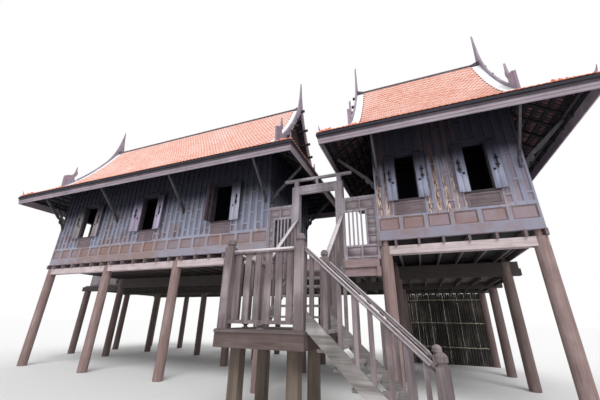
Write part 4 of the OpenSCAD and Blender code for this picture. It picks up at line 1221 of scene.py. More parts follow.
@dataclass
class MainRoofTiles:
    """The tiles on both slopes of a main roof.

    Bond is the shift of every other course, in tiles, and chords the number of
    chords by which the curve of the roof is measured.
    """

    house: House
    verge: float = 0.20
    ridge_gap: float = 0.02
    overhang: float = 0.02
    bond: float = 0.49
    lift: float = 0.004
    chords: int = 400
    cover: TileCover = field(default_factory=TileCover)

    def build(self) -> None:
        """Lays the courses of both slopes and makes one piece of them.

        The courses are spaced evenly along the curve of the roof, whose length
        is the running sum of its short chords.
        """
        house = self.house
        away = np.linspace(0.0, house.roof_reach, self.chords)
        height = house.roof_height(away)
        run = np.concatenate([[0.0], np.cumsum(np.hypot(np.diff(away), np.diff(height)))])
        count = int((run[-1] - self.ridge_gap) / self.cover.course)
        tails = run[-1] - np.arange(count) * self.cover.course
        heads = np.clip(tails - self.cover.length + self.overhang, 0.0, None)
        head_away = np.interp(heads, run, away)
        tail_away = np.interp(tails, run, away)
        fall = house.roof_height(tail_away) - house.roof_height(head_away)
        x0 = house.roof_x0 + self.verge
        width = house.roof_x1 - self.verge - x0
        columns = int(width / self.cover.pitch)
        course, column = np.meshgrid(np.arange(count), np.arange(columns), indexing="ij")
        x = x0 + (column + 0.5 + (course % 2) * self.bond) * width / (columns + 0.5)
        z = house.roof_height(head_away[course]) + self.lift
        shape = Shape()
        for sign in (-1.0, 1.0):
            y = house.depth / 2 + sign * head_away[course]
            places = np.stack([x, y, z], axis=-1).reshape(-1, 3)
            steps = [np.zeros_like(x), sign * (tail_away - head_away)[course], fall[course]]
            down = unit(np.stack(steps, axis=-1).reshape(-1, 3))
            across = np.zeros_like(down)
            across[:, 0] = sign
            self.cover.lay(shape, places, across, down)
        finish = LEFT_TILE if house is LONG else RIGHT_TILE
        shape.piece(house.name + "_main_roof_tiles", finish, "roof_tiles")


@dataclass(frozen=True)
class Edge:
    """A line along one side of a house, seen from outside.

    Along runs from left to right, and inwards points to the house.
    """

    start: np.ndarray
    along: np.ndarray
    inwards: np.ndarray
    length: float

    def at(self, along: np.ndarray, inwards: np.ndarray, height: np.ndarray) -> np.ndarray:
        """Finds points by their distances from the line's start.

        Args:
            along: How far each point lies along the line.
            inwards: How far it lies towards the house.
            height: How high it lies.

        Returns:
            The points.
        """
        along, inwards, height = np.broadcast_arrays(along, inwards, height)
        flat = along[..., None] * self.along + inwards[..., None] * self.inwards
        return self.start + flat + height[..., None] * UP

    def turn(self) -> np.ndarray:
        """The line's own axes as the columns of a matrix."""
        return np.stack([self.along, self.inwards, UP], axis=1)


def edge_of(house: House, side: Side, out: float, extra: float) -> Edge:
    """Finds the line along one side of a house.

    Args:
        house: The house.
        side: The side.
        out: How far the line lies outside the post line.
        extra: How far it runs past the post lines at each end.

    Returns:
        The line, from left to right as seen from outside.
    """
    x0, x1, depth = house.x0, house.x1, house.depth
    starts = {
        Side.FRONT: ((x0 - extra, -out), x1 - x0),
        Side.RIGHT: ((x1 + out, -extra), depth),
        Side.BACK: ((x1 + extra, depth + out), x1 - x0),
        Side.LEFT: ((x0 - out, depth + extra), depth),
    }
    (x, y), span = starts[side]
    turn = side.value * math.pi / 2
    along = np.array([round(math.cos(turn)), round(math.sin(turn)), 0.0])
    inwards = np.array([-along[1], along[0], 0.0])
    return Edge(np.array([x, y, 0.0]), along, inwards, span + 2 * extra)


def eave_of(house: House, side: Side) -> Edge:
    """The edge of the skirt roof along one side of a house."""
    return edge_of(house, side, house.eave_out, house.eave_out)


@dataclass
class SkirtTiles:
    """The tiles of the skirt roof round one house.

    First is how far in from the edge the lowest tails lie, and the gaps are
    what stays free of tiles at the wall and beside the hips.
    """

    house: House
    first: float = 0.028
    wall_gap: float = 0.03
    hip_gap: float = 0.05
    overhang: float = 0.01
    tuck: float = 0.005
    lift: float = 0.003
    cover: TileCover = field(default_factory=lambda: TileCover(seed=23))

    def build(self) -> None:
        """Lays courses on the four sides, each shorter than the one below."""
        house = self.house
        run = house.eave_out - house.wall_out
        fall = math.hypot(1.0, house.skirt_slope)
        step = self.cover.course / fall
        count = int((run - self.wall_gap) / step)
        shape = Shape()
        for side in Side:
            edge = eave_of(house, side)
            columns = int(edge.length / self.cover.pitch)
            course, column = np.meshgrid(np.arange(count), np.arange(columns), indexing="ij")
            tail = self.first + course * step
            head = np.minimum(tail + (self.cover.length - self.overhang) / fall, run - self.tuck)
            along = (column + 0.5 + (course % 2) * 0.5) * edge.length / (columns + 0.5)
            inside = (along > tail + self.hip_gap) & (along < edge.length - tail - self.hip_gap)
            heads = edge.at(along, head, house.skirt_height(head) + self.lift)[inside]
            tails = edge.at(along, tail, house.skirt_height(tail) + self.lift)[inside]
            down = unit(tails - heads)
            self.cover.lay(shape, heads, np.broadcast_to(-edge.along, down.shape), down)
        shape.piece(house.name + "_skirt_roof_tiles", SKIRT_TILE, "roof_tiles")


def hips_of(house: House, start: float = 0.03) -> list[np.ndarray]:
    """Finds the hip lines of a skirt roof.

    Args:
        house: The house.
        start: How far in from the corner of the eaves a hip begins.

    Returns:
        For each corner the lower and the upper end of its hip, as two rows.
    """
    inwards = np.array([start, house.eave_out - house.wall_out])
    return [eave_of(house, side).at(inwards, inwards, house.skirt_height(inwards)) for side in Side]


@dataclass
class HipCaps:
    """Half-round clay caps that overlap up each hip.

    Flatness is a cap's height over its radius, taper what it loses of its
    width up to its head, and step the length of a cap that shows.
    """

    house: House
    radius: float = 0.035
    length: float = 0.22
    flatness: float = 0.75
    taper: float = 0.18
    step: float = 0.8
    end_gap: float = 0.2
    lift: float = 0.008
    corners: int = 9
    seed: int = 5

    def build(self) -> None:
        """Lays the caps: prisms over half an ellipse, narrowed to one end."""
        angles = np.linspace(0.0, math.pi, self.corners)
        outline = np.column_stack([np.cos(angles), np.sin(angles) * self.flatness]) * self.radius
        points, faces = prism(outline, self.length)
        points[:, :2] *= 1.0 - self.taper * points[:, 2:] / self.length
        shape = Shape()
        for low, high in hips_of(self.house):
            length = float(np.linalg.norm(high - low))
            up = (high - low) / length
            across = unit(np.cross(UP, up))
            raised = np.cross(up, across)
            count = int(length / (self.length * self.step))
            steps = np.arange(count) * length / (count + self.end_gap)
            places = low + steps[:, None] * up + raised * self.lift
            turn = np.stack([across, raised, up], axis=1)
            chance = np.random.default_rng(self.seed)
            shape.repeat(points, faces, places, turns=turn, tints=chance.random(count))
        shape.piece(self.house.name + "_hip_caps", SKIRT_TILE, "roof_tiles")


@dataclass
class EaveSpikes:
    """A small horn at each corner of the eaves.

    Foot and tip are how far in from the corner they lie, slope and lift set
    the horn on the roof, and bend and taper are powers of the way up.
    """

    house: House
    foot: float = 0.12
    tip: float = 0.03
    slope: float = 0.5
    lift: float = 0.02
    height: float = 0.20
    bend: float = 2.2
    radius: float = 0.030
    taper: float = 0.7
    tip_radius: float = 0.004
    rings: int = 10
    sides: int = 8

    def build(self) -> None:
        """Carries a ring along a curve that rises more steeply to its end.

        The ring shrinks to a point, by a power of what is left of the way.
        """
        shape = Shape()
        steps = np.linspace(0.0, 1.0, self.rings)
        inwards = self.foot + (self.tip - self.foot) * steps
        rise = inwards * self.slope + self.lift + self.height * steps**self.bend
        radius = self.radius * (1.0 - steps) ** self.taper + self.tip_radius
        for low, high in hips_of(self.house):
            flat = unit((high - low) * (1.0, 1.0, 0.0))
            path = low + inwards[:, None] * flat + rise[:, None] * UP
            shape.tube(path, radius, self.sides)
        shape.piece(self.house.name + "_eave_spikes", BARGE, "grey_trim")


@dataclass
class Soffit:
    """What shows under the skirt roof: battens and the backs of the tiles.

    A tile back is a bar, measured along the eave, up the slope and down. The
    rows start at first and end before the wall, and hang under the slab.
    """

    house: House
    row: float = 0.175
    first: float = 0.10
    wall_gap: float = 0.12
    hip_gap: float = 0.16
    bar: Triple = (0.055, 0.120, 0.008)
    bar_pitch: float = 0.100
    bar_gap: float = 0.012
    bar_drop: float = 0.012
    batten: Pair = (0.028, 0.026)
    batten_end: float = 0.05
    batten_drop: float = 0.030
    seed: int = 8

    def build(self) -> None:
        """Makes rows of tile backs and the battens between them."""
        house = self.house
        backs = Shape()
        battens = Shape()
        rows = np.arange(self.first, house.eave_out - house.wall_out - self.wall_gap, self.row)
        slab = house.skirt_height(rows) - house.skirt_t
        chance = np.random.default_rng(self.seed)
        for side in Side:
            edge = eave_of(house, side)
            slope = unit(edge.inwards + house.skirt_slope * UP)
            turn = np.stack([edge.along, slope, np.cross(edge.along, slope)], axis=1)
            columns = int(edge.length / self.bar_pitch)
            row, column = np.meshgrid(rows, np.arange(columns), indexing="ij")
            along = (column + 0.5) * edge.length / columns
            inside = (along > row + self.hip_gap) & (along < edge.length - row - self.hip_gap)
            low = row + self.batten[0] + self.bar_gap
            height = house.skirt_height(low) - house.skirt_t - self.bar_drop
            places = edge.at(along - self.bar[0] / 2, low, height)[inside]
            tints = chance.random(len(places))
            backs.repeat(BOX_POINTS, BOX_FACES, places, turn, np.array(self.bar), tints)
            reach = edge.length - 2 * rows - 2 * self.batten_end
            starts = edge.at(rows + self.batten_end, rows, slab - self.batten_drop)
            sizes = np.column_stack([reach, np.tile(self.batten, (len(rows), 1))])
            battens.repeat(BOX_POINTS, BOX_FACES, starts, turn, sizes)
        # Painted shade: the tile backs and the battens take dark finishes.
        finish = LEFT_BACK if house is LONG else RIGHT_BACK
        backs.piece(house.name + "_tile_backs", finish, "roof_tiles")
        battens.piece(house.name + "_soffit_battens", UNDERSIDE_SHADE, "underside_wood")


def bead_ring(
    box: Rectangle, width: float, height: float, crest: float = 0.4
) -> tuple[np.ndarray, Faces]:
    """Makes a closed ring whose section is a low triangle, round a rectangle.

    Args:
        box: The left, the right, the foot and the head of the ring's outside.
        width: How wide the ring is.
        height: How far its crest stands out to the front.
        crest: Where the crest lies across the ring, as a share of its width.

    Returns:
        The points and the faces of the ring.
    """
    x0, x1, z0, z1 = box
    rows = []
    for inset, out in ((0.0, 0.0), (crest * width, height), (width, 0.0)):
        a, b, c, d = x0 + inset, x1 - inset, z0 + inset, z1 - inset
        rows.append([(a, -out, c), (b, -out, c), (b, -out, d), (a, -out, d)])
    points = np.array(rows).reshape(-1, 3)
    faces: Faces = []
    for i in range(3):
        for j in range(4):
            first, second = i * 4 + j, i * 4 + (j + 1) % 4
            faces.append((first, second, (second + 4) % len(points), (first + 4) % len(points)))
    return points, faces


@dataclass
class PanelBeads:
    """The moulded edge inside each square panel along the foot of the walls.

    A bay has a number of squares. End is how far the squares of the end walls
    run past the post lines, and door half the width that a doorway takes.
    """

    house: House
    foot: float = 3.565
    head: float = 3.86
    width: float = 0.026
    height: float = 0.014
    stile: float = 0.045
    inset: float = 0.024
    bay: float = 3.0
    squares: int = 6
    end: float = 0.094
    door: float = 0.48

    def build(self) -> None:
        """Makes one moulded ring for each square."""
        shape = Shape()
        house = self.house
        for side in Side:
            extra = house.wall_out if side in (Side.FRONT, Side.BACK) else self.end
            edge = edge_of(house, side, house.wall_out, extra)
            count = round(edge.length / self.bay * self.squares)
            step = edge.length / count
            middles = (np.arange(count) + 0.5) * step
            if side is Side.BACK:
                from_door = np.abs(edge.start[0] - middles - house.door)
                middles = middles[from_door > self.door + step / 2]
            half = step / 2 - self.stile
            points, faces = bead_ring((-half, half, self.foot, self.head), self.width, self.height)
            places = edge.at(middles, np.array(self.inset), np.array(0.0))
            shape.repeat(points, faces, places, turns=edge.turn())
        shape.piece(house.name + "_panel_beads", BEAD, "dark_walls")


@dataclass(frozen=True)
class Window:
    """A window opening, from its middle on the post line of a wall.

    Leaf is the width of each shutter. The angles are how far the left and the right leaf stand open, and the
    paints are what shows on them then, with painted shade on a leaf that stands in the shade.
    """

    side: Side
    x: float
    y: float
    head: float = 5.48
    leaf: float = 0.337
    angles: Pair = (172.0, 172.0)
    paints: tuple[Finish, Finish] = (MAUVE, MAUVE)
    sill: float = 4.30

    def turn(self) -> np.ndarray:
        """Finds the wall's own axes.

        Returns:
            The axes to the right, inwards and up, as seen from outside, as the
            columns of a matrix.
        """
        angle = self.side.value * math.pi / 2
        right = (round(math.cos(angle)), round(math.sin(angle)))
        return np.array([(right[0], -right[1], 0.0), (right[1], right[0], 0.0), UP])

    def at(self, points: np.ndarray) -> np.ndarray:
        """Turns points that are drawn to the right, inwards and up into place."""
        return np.asarray(points, dtype=float) @ self.turn().T + (self.x, self.y, 0.0)


END_WINDOWS = tuple(
    Window(side, x, y, head=5.29, leaf=0.287)
    for side, x in ((Side.LEFT, LONG.x0), (Side.RIGHT, SHORT.x1))
    for y in (0.72, 2.28)
)
WINDOWS = (
    Window(Side.FRONT, -7.5, 0.0, angles=(176.0, 176.0), paints=(DUSK, DUSK)),
    Window(Side.FRONT, -4.5, 0.0, angles=(168.0, 170.0)),
    # The left leaf of this window gets painted shade on its inner side.
    Window(Side.FRONT, -1.5, 0.0, angles=(96.0, 174.0), paints=(SHADE, LILAC)),
    Window(Side.FRONT, 3.87, 0.0, leaf=0.237, angles=(177.0, 177.0), paints=(SLATE, SLATE)),
    Window(Side.FRONT, 5.42, 0.0, leaf=0.237, angles=(176.0, 174.0), paints=(SLATE, SLATE)),
    Window(Side.BACK, -7.5, LONG.depth),
    Window(Side.BACK, -1.5, LONG.depth),
) + END_WINDOWS


@dataclass
class ApronCarving:
    """The carving in the board under each window: a rosette between scrolls.

    Back and front are how far the carving's bed lies outside the post line.
    The other sizes are the radii of the rosette and its boss, the middle, the
    pitch and the reach of each scroll, and the waves of the leaves. Heights are
    shares of the depth, and grid is the number of points across and up.
    """

    half: float = 0.284
    foot: float = 3.987
    head: float = 4.193
    back: float = 0.110
    front: float = 0.1135
    depth: float = 0.014
    margin: float = 0.012
    petals: int = 8
    petal_depth: float = 0.4
    rosette: float = 0.085
    boss: float = 0.018
    scroll: float = 0.185
    scroll_pitch: float = 0.034
    scroll_reach: float = 0.10
    scroll_height: float = 0.85
    leaf_waves: Pair = (70.0, 60.0)
    leaf_start: float = 0.09
    leaf_height: float = 0.5
    grid: tuple[int, int] = (73, 29)

    def build(self) -> None:
        """Makes the carving of every window."""
        shape = Shape()
        u = np.linspace(-self.half, self.half, self.grid[0])
        v = np.linspace(self.foot, self.head, self.grid[1])
        across, up = np.meshgrid(u, v, indexing="ij")
        relief = self.relief(across, up - (self.foot + self.head) / 2)
        face = np.stack([across, -self.front - relief, up], axis=-1)
        back = np.stack([across, np.full_like(across, -self.back), up], axis=-1)
        for window in WINDOWS:
            shape.slab(window.at(face), window.at(back))
        shape.piece("apron_carvings", CARVING, "dark_walls")

    def relief(self, x: np.ndarray, z: np.ndarray) -> np.ndarray:
        """Works out the height of the carving above its bed.

        The rosette is a dome that petals divide, with a boss. Each scroll is a
        ridge that winds outwards with its angle, and leaves ripple at the ends.

        Args:
            x: The place across the board, from its middle.
            z: The place up the board, from its middle.

        Returns:
            The height at each place.
        """
        radius = np.hypot(x, z)
        dome = np.clip(1.0 - (radius / self.rosette) ** 2, 0.0, 1.0)
        wave = np.cos(self.petals * np.arctan2(z, x))
        petals = 1.0 - self.petal_depth + self.petal_depth * wave
        rosette = dome * petals + np.exp(-((radius / self.boss) ** 2))
        scrolls = np.zeros_like(x)
        for centre in (-self.scroll, self.scroll):
            dx = (x - centre) * np.sign(centre)
            r = np.hypot(dx, z)
            phase = r / self.scroll_pitch - np.arctan2(z, dx) / (2 * math.pi)
            ridge = np.clip(np.cos(2 * math.pi * phase), 0.0, 1.0)
            scrolls = np.maximum(scrolls, ridge * (r < self.scroll_reach))
        wave_x, wave_z = self.leaf_waves
        leaves = self.leaf_height * np.clip(np.cos(x * wave_x) * np.cos(z * wave_z), 0.0, 1.0)
        leaves = leaves * (radius > self.leaf_start)
        whole = np.maximum(np.maximum(rosette, scrolls * self.scroll_height), leaves)
        edge = np.minimum(self.half - np.abs(x), (self.head - self.foot) / 2 - np.abs(z))
        return self.depth * whole * np.clip(edge / self.margin, 0.0, 1.0)


@dataclass(frozen=True)
class Leaf:
    """One leaf of a window's shutters, drawn from its hinge.

    The side is -1 for the left leaf and 1 for the right one. The hinge stands
    outside the post line, and a little outside the leaf.
    """

    window: Window
    side: int
    hinge_out: float = 0.144
    hinge_gap: float = 0.001

    def axes(self) -> np.ndarray:
        """Turns the window's axes by the angle at which the leaf stands open.

        Returns:
            The leaf's own axes as the columns of a matrix.
        """
        turn = math.radians(self.side * self.window.angles[max(self.side, 0)])
        cosine, sine = math.cos(turn), math.sin(turn)
        return self.window.turn() @ np.array([(cosine, -sine, 0.0), (sine, cosine, 0.0), UP])

    def hinge(self) -> np.ndarray:
        """The foot of the hinge line."""
        return self.window.at((self.side * (self.window.leaf + self.hinge_gap), -self.hinge_out, 0.0))

    def paint(self) -> Finish:
        """The paint of the side that shows when the leaf stands open; a leaf in the shade gets painted shade.
        """
        return self.window.paints[max(self.side, 0)]

    def bars(self, shape: Shape, spans: list[Rectangle], near: float, far: float) -> None:
        """Adds boxes on the leaf.

        Args:
            shape: Where the boxes go.
            spans: For each box its two distances from the hinge, its foot and
                its head.
            near: Where the boxes start across the leaf's thickness.
            far: Where they end.
        """
        spans = np.asarray(spans, dtype=float)
        ends = -self.side * spans[:, :2]
        low = np.column_stack([ends.min(axis=1), np.full(len(spans), near), spans[:, 2]])
        high = np.column_stack([ends.max(axis=1), np.full(len(spans), far), spans[:, 3]])
        axes = self.axes()
        shape.repeat(BOX_POINTS, BOX_FACES, self.hinge() + low @ axes.T, turns=axes, scales=high - low)


LEAVES = tuple(Leaf(window, side) for window in WINDOWS for side in (-1, 1))


@dataclass
class ShutterWood:
    """The boards on the inner side of each shutter and the frame outside.

    Below and above are how far a leaf reaches past the sill and the head. The
    lock rail is a third rail, from one height above the foot to another.
    """

    thickness: float = 0.034
    boards: int = 2
    board_t: float = 0.004
    gap: float = 0.006
    edge: float = 0.004
    below: float = 0.024
    above: float = 0.019
    sunk: float = 0.001
    stile: float = 0.040
    stile_gap: float = 0.002
    rail: float = 0.075
    lock_rail: Pair = (0.55, 0.61)
    frame_span: Pair = (-0.006, 0.0025)

    def build(self) -> None:
        """Makes one piece of the boards in each paint, painted shade among them, and one of the frames."""
        frames = Shape()
        painted: dict[Finish, Shape] = {}
        for leaf in LEAVES:
            self.inside(leaf, painted.setdefault(leaf.paint(), Shape()))
            self.outside(leaf, frames)
        for finish, shape in painted.items():
            shape.piece(finish.name + "_boards", finish, "shutter_paint")
        frames.piece("shutter_battens", SHUTTER, "shutter_paint")

    def inside(self, leaf: Leaf, shape: Shape) -> None:
        """Adds the upright boards of one leaf, with fine gaps between them.

        Args:
            leaf: The leaf.
            shape: Where the boards go.
        """
        window = leaf.window
        step = (window.leaf - self.gap) / self.boards
        starts = self.edge + np.arange(self.boards) * step
        foot, head = window.sill - self.below, window.head + self.above
        spans = [(x, x + step - self.gap, foot, head) for x in starts]
        leaf.bars(shape, spans, self.thickness - self.sunk, self.thickness + self.board_t)

    def outside(self, leaf: Leaf, shape: Shape) -> None:
        """Adds the two stiles and three rails on the outer side of one leaf.

        Args:
            leaf: The leaf.
            shape: Where the stiles and the rails go.
        """
        window = leaf.window
        foot = window.sill - self.below + self.sunk
        head = window.head + self.above - self.sunk
        end = window.leaf - self.stile_gap
        near, far = self.edge + self.stile, end - self.stile
        low, high = self.lock_rail
        spans = [
            (self.edge, near, foot, head),
            (far, end, foot, head),
            (near, far, foot, foot + self.rail),
            (near, far, head - self.rail, head),
            (near, far, foot + low, foot + high),
        ]
        leaf.bars(shape, spans, *self.frame_span)


@dataclass
class ShutterLatches:
    """An upright bolt with two keepers and a round knob on each shutter.

    The places of the bolt and the knob are shares of a leaf's width, and the
    heights are above the sill.
    """

    face: float = 0.037
    foot: float = 0.45
    bolt: float = 0.62
    bolt_half: float = 0.014
    bolt_length: float = 0.34
    bolt_t: float = 0.024
    keepers: Pair = (0.06, 0.23)
    keeper_half: float = 0.040
    keeper_height: float = 0.045
    keeper_t: float = 0.012
    knob: float = 0.30
    knob_drop: float = 0.02
    knob_out: tuple[float, ...] = (0.0, 0.012, 0.026)
    knob_radius: tuple[float, ...] = (0.026, 0.030, 0.014)
    knob_sides: int = 12

    def build(self) -> None:
        """Makes one piece of the latches of all leaves.

        A knob is a ring carried outwards, whose radius swells and shrinks.
        """
        shape = Shape()
        for leaf in LEAVES:
            middle = leaf.window.leaf * self.bolt
            foot = leaf.window.sill + self.foot
            bolt = [(middle - self.bolt_half, middle + self.bolt_half, foot, foot + self.bolt_length)]
            leaf.bars(shape, bolt, self.face, self.face + self.bolt_t)
            left, right = middle - self.keeper_half, middle + self.keeper_half
            keepers = [(left, right, foot + z, foot + z + self.keeper_height) for z in self.keepers]
            leaf.bars(shape, keepers, self.face, self.face + self.keeper_t)
            out = self.face + np.array(self.knob_out)
            across = np.full_like(out, -leaf.side * leaf.window.leaf * self.knob)
            knob = np.column_stack([across, out, np.full_like(out, foot - self.knob_drop)])
            path = leaf.hinge() + knob @ leaf.axes().T
            shape.tube(path, np.array(self.knob_radius), self.knob_sides)
        shape.piece("shutter_latches", IRON, "dark_walls")


@dataclass(frozen=True)
class BoardFloor:
    """The boards of one floor, laid along the front over its rectangles.

    Each rectangle is its left, its right, its front and its back. Planks are
    cut at a length, and each row is shifted by a share of it. The boards are
    sunk a little into the floor that carries them.
    """

    name: str
    slot: str
    top: float
    areas: tuple[Rectangle, ...]
    width: float = 0.15
    gap: float = 0.006
    thickness: float = 0.012
    sunk: float = 0.002
    plank: float = 3.0
    joint: float = 0.004
    shift: float = 0.37
    shortest: float = 0.05

    def build(self) -> None:
        """Lays the boards of every rectangle and makes one piece of them."""
        shape = Shape()
        for area in self.areas:
            self.lay(shape, area)
        shape.piece(self.name, DECK, self.slot)

    def lay(self, shape: Shape, area: Rectangle) -> None:
        """Lays rows of boards whose ends meet at staggered places.

        The left side in centimetres seeds the tints.

        Args:
            shape: Where the boards go.
            area: The rectangle.
        """
        x0, x1, y0, y1 = area
        rows = max(1, round((y1 - y0) / self.width))
        step = (y1 - y0) / rows
        centimetres = int(abs(x0) * 100)
        chance = np.random.default_rng(centimetres)
        lows, highs = [], []
        for row in range(rows):
            joints = np.arange(x0 - self.plank * ((row * self.shift) % 1.0), x1, self.plank)
            starts = np.clip(joints, x0, x1)
            ends = np.clip(joints + self.plank - self.joint, x0, x1)
            long_enough = ends - starts > self.shortest
            for start, end in zip(starts[long_enough], ends[long_enough]):
                lows.append((start, y0 + row * step + self.gap / 2, self.top - self.sunk))
                highs.append((end, y0 + (row + 1) * step - self.gap / 2, self.top + self.thickness))
        shape.boxes(lows, highs, tints=chance.random(len(lows)))


TERRACE_AREAS = (
    (-11.33, 6.35, 3.168, 7.53), (0.16, 3.06, -0.065, 3.12), (-11.33, -9.16, 2.902, 3.165),
)
ROOM_AREAS = tuple((house.x0 - 0.025, house.x1 + 0.025, -0.025, 3.025) for house in (LONG, SHORT))
LANDING_AREAS = ((0.912, 2.332, -3.098, -1.502),)
BOARD_FLOORS = (
    BoardFloor("terrace_boards", "stair_wood", 2.92, TERRACE_AREAS),
    BoardFloor("room_boards", "underside_wood", 3.365, ROOM_AREAS),
    BoardFloor("landing_boards", "stair_wood", 1.44, LANDING_AREAS),
)


@dataclass
class GableBattens:
    """Upright battens on both gables, which end under the curve of the roof.

    Roof gap is how far below the roof a batten ends, measured a little beyond
    its outer edge.
    """

    house: House
    reach: float = 1.25
    step: float = 0.25
    foot: float = 6.70
    half: float = 0.025
    beyond: float = 0.03
    thickness: float = 0.014
    roof_gap: float = 0.20

    def build(self) -> None:
        """Makes the battens of both gables, each as high as the roof allows."""
        house = self.house
        y = np.arange(-self.reach, self.reach + self.half, self.step)
        middle = house.depth / 2 + y
        top = house.roof_height(np.abs(y) + self.beyond) - self.roof_gap
        foot = np.full_like(y, self.foot)
        shape = Shape()
        walls = (house.x0 - house.wall_out, house.x1 + house.wall_out)
        for wall, out in zip(walls, (-self.thickness, self.thickness)):
            near, far = sorted((wall, wall + out))
            low = np.column_stack([np.full_like(y, near), middle - self.half, foot])
            high = np.column_stack([np.full_like(y, far), middle + self.half, top])
            shape.boxes(low, high)
        shape.piece(house.name + "_gable_battens", GABLE, "dark_walls")


@dataclass
class BargeMouldings:
    """A small half round along the middle of each barge board.

    Thickness is the barge board's, span where the moulding starts and ends
    away from the ridge, and lift its height over the curve of the roof.
    """

    house: House
    thickness: float = 0.05
    span: Pair = (0.10, 1.46)
    lift: float = 0.075
    radius: float = 0.016
    rings: int = 30
    sides: int = 8

    def build(self) -> None:
        """Carries a ring along the curve of the roof on each barge board."""
        house = self.house
        away = np.linspace(*self.span, self.rings)
        height = house.roof_height(away) + self.lift
        shape = Shape()
        for x in (house.roof_x0 - self.thickness, house.roof_x1 + self.thickness):
            for sign in (-1.0, 1.0):
                path = np.column_stack([np.full_like(away, x), house.depth / 2 + sign * away, height])
                shape.tube(path, np.full(len(away), self.radius), self.sides)
        shape.piece(house.name + "_barge_mouldings", BARGE, "grey_trim")


@dataclass
class EaveShadeStrips:
    """A dark strip of painted shade on the upper eave board round a house, for the shade under the edges of
    the tiles.
    """

    house: House
    foot: float = 5.712
    head: float = 5.795
    inset: float = 0.030
    thickness: float = 0.004
    sunk: float = 0.001

    def build(self) -> None:
        """Makes one strip along each side, just in front of the top board."""
        out = self.house.eave_out - self.inset + self.thickness
        shape = Shape()
        for side in Side:
            edge = edge_of(self.house, side, out, out)
            size = np.array([edge.length, self.thickness + self.sunk, self.head - self.foot])
            shape.repeat(BOX_POINTS, BOX_FACES, edge.start + self.foot * UP, edge.turn(), size)
        # The strips are painted shade.
        shape.piece(self.house.name + "_eave_shade_strips", EDGE, "grey_trim")


@dataclass(frozen=True)
class GatePanel:
    """One panel beside the gate, with its places along the front.

    The column is where its small squares start and end, from its left.
    """

    left: float
    right: float
    column: Pair


@dataclass
class GateTrim:
    """The sunk squares and the moulded edges of the panels beside the gate.

    Heights are above the floor, and face is the front of the panels. Each has
    two large squares side by side at its foot and head, and a column of small
    ones between. The gate's own lintel has one moulded edge.
    """

    panels: tuple[GatePanel, ...] = (
        GatePanel(0.12, 0.84, (0.05, 0.15)),
        GatePanel(2.27, 3.10, (0.59, 0.78)),
    )
    floor: float = 2.92
    face: float = -0.10
    depth: float = 0.016
    large: tuple[Pair, ...] = ((0.095, 0.30), (1.29, 1.51))
    small: tuple[float, ...] = (0.37, 0.60, 0.83, 1.06)
    small_height: float = 0.19
    post: float = 0.06
    half_bar: float = 0.025
    bead: float = 0.018
    bead_out: float = 0.009
    inset: float = 0.003
    sunk: float = 0.001
    lintel: Rectangle = (1.02, 2.09, 4.86, 5.03)
    lintel_bead: float = 0.022
    lintel_out: float = 0.010

    def build(self) -> None:
        """Makes the boards in the squares and the mouldings round them."""
        boards = Shape()
        beads = Shape()
        for panel in self.panels:
            for square in self.squares(panel):
                self.dress(boards, beads, square)
        self.ring(beads, self.lintel, self.lintel_bead, self.lintel_out)
        boards.piece("gate_sunk_boards", SUNK, "dark_walls")
        beads.piece("gate_mouldings", GATE, "dark_walls")

    def squares(self, panel: GatePanel) -> list[Rectangle]:
        """Finds the squares of one panel.

        Args:
            panel: The panel.

        Returns:
            The left, the right, the foot and the head of each square.
        """
        middle = (panel.left + panel.right) / 2
        halves = (
            (panel.left + self.post, middle - self.half_bar),
            (middle + self.half_bar, panel.right - self.post),
        )
        large = [(a, b, self.floor + c, self.floor + d) for a, b in halves for c, d in self.large]
        left, right = (panel.left + place for place in panel.column)
        small = [(left, right, self.floor + z, self.floor + z + self.small_height) for z in self.small]
        return large + small

    def dress(self, boards: Shape, beads: Shape, square: Rectangle) -> None:
        """Adds the board at the bottom of one square and the bead round it.

        Args:
            boards: Where the board goes.
            beads: Where the bead goes.
            square: The square's left, right, foot and head.
        """
        x0, x1, z0, z1 = square
        back = self.face + self.depth
        low = (x0 + self.inset, back - self.inset, z0 + self.inset)
        high = (x1 - self.inset, back + self.sunk, z1 - self.inset)
        boards.boxes([low], [high])
        outside = (x0 - self.bead, x1 + self.bead, z0 - self.bead, z1 + self.bead)
        self.ring(beads, outside, self.bead, self.bead_out)

    def ring(self, beads: Shape, outside: Rectangle, width: float, out: float) -> None:
        """Adds a bead on the face of the panels.

        Args:
            beads: Where the bead goes.
            outside: Its left, right, foot and head.
            width: How wide it is.
            out: How far it stands out.
        """
        points, faces = bead_ring(outside, width, out)
        beads.repeat(points, faces, np.array([0.0, self.face + self.sunk, 0.0]))


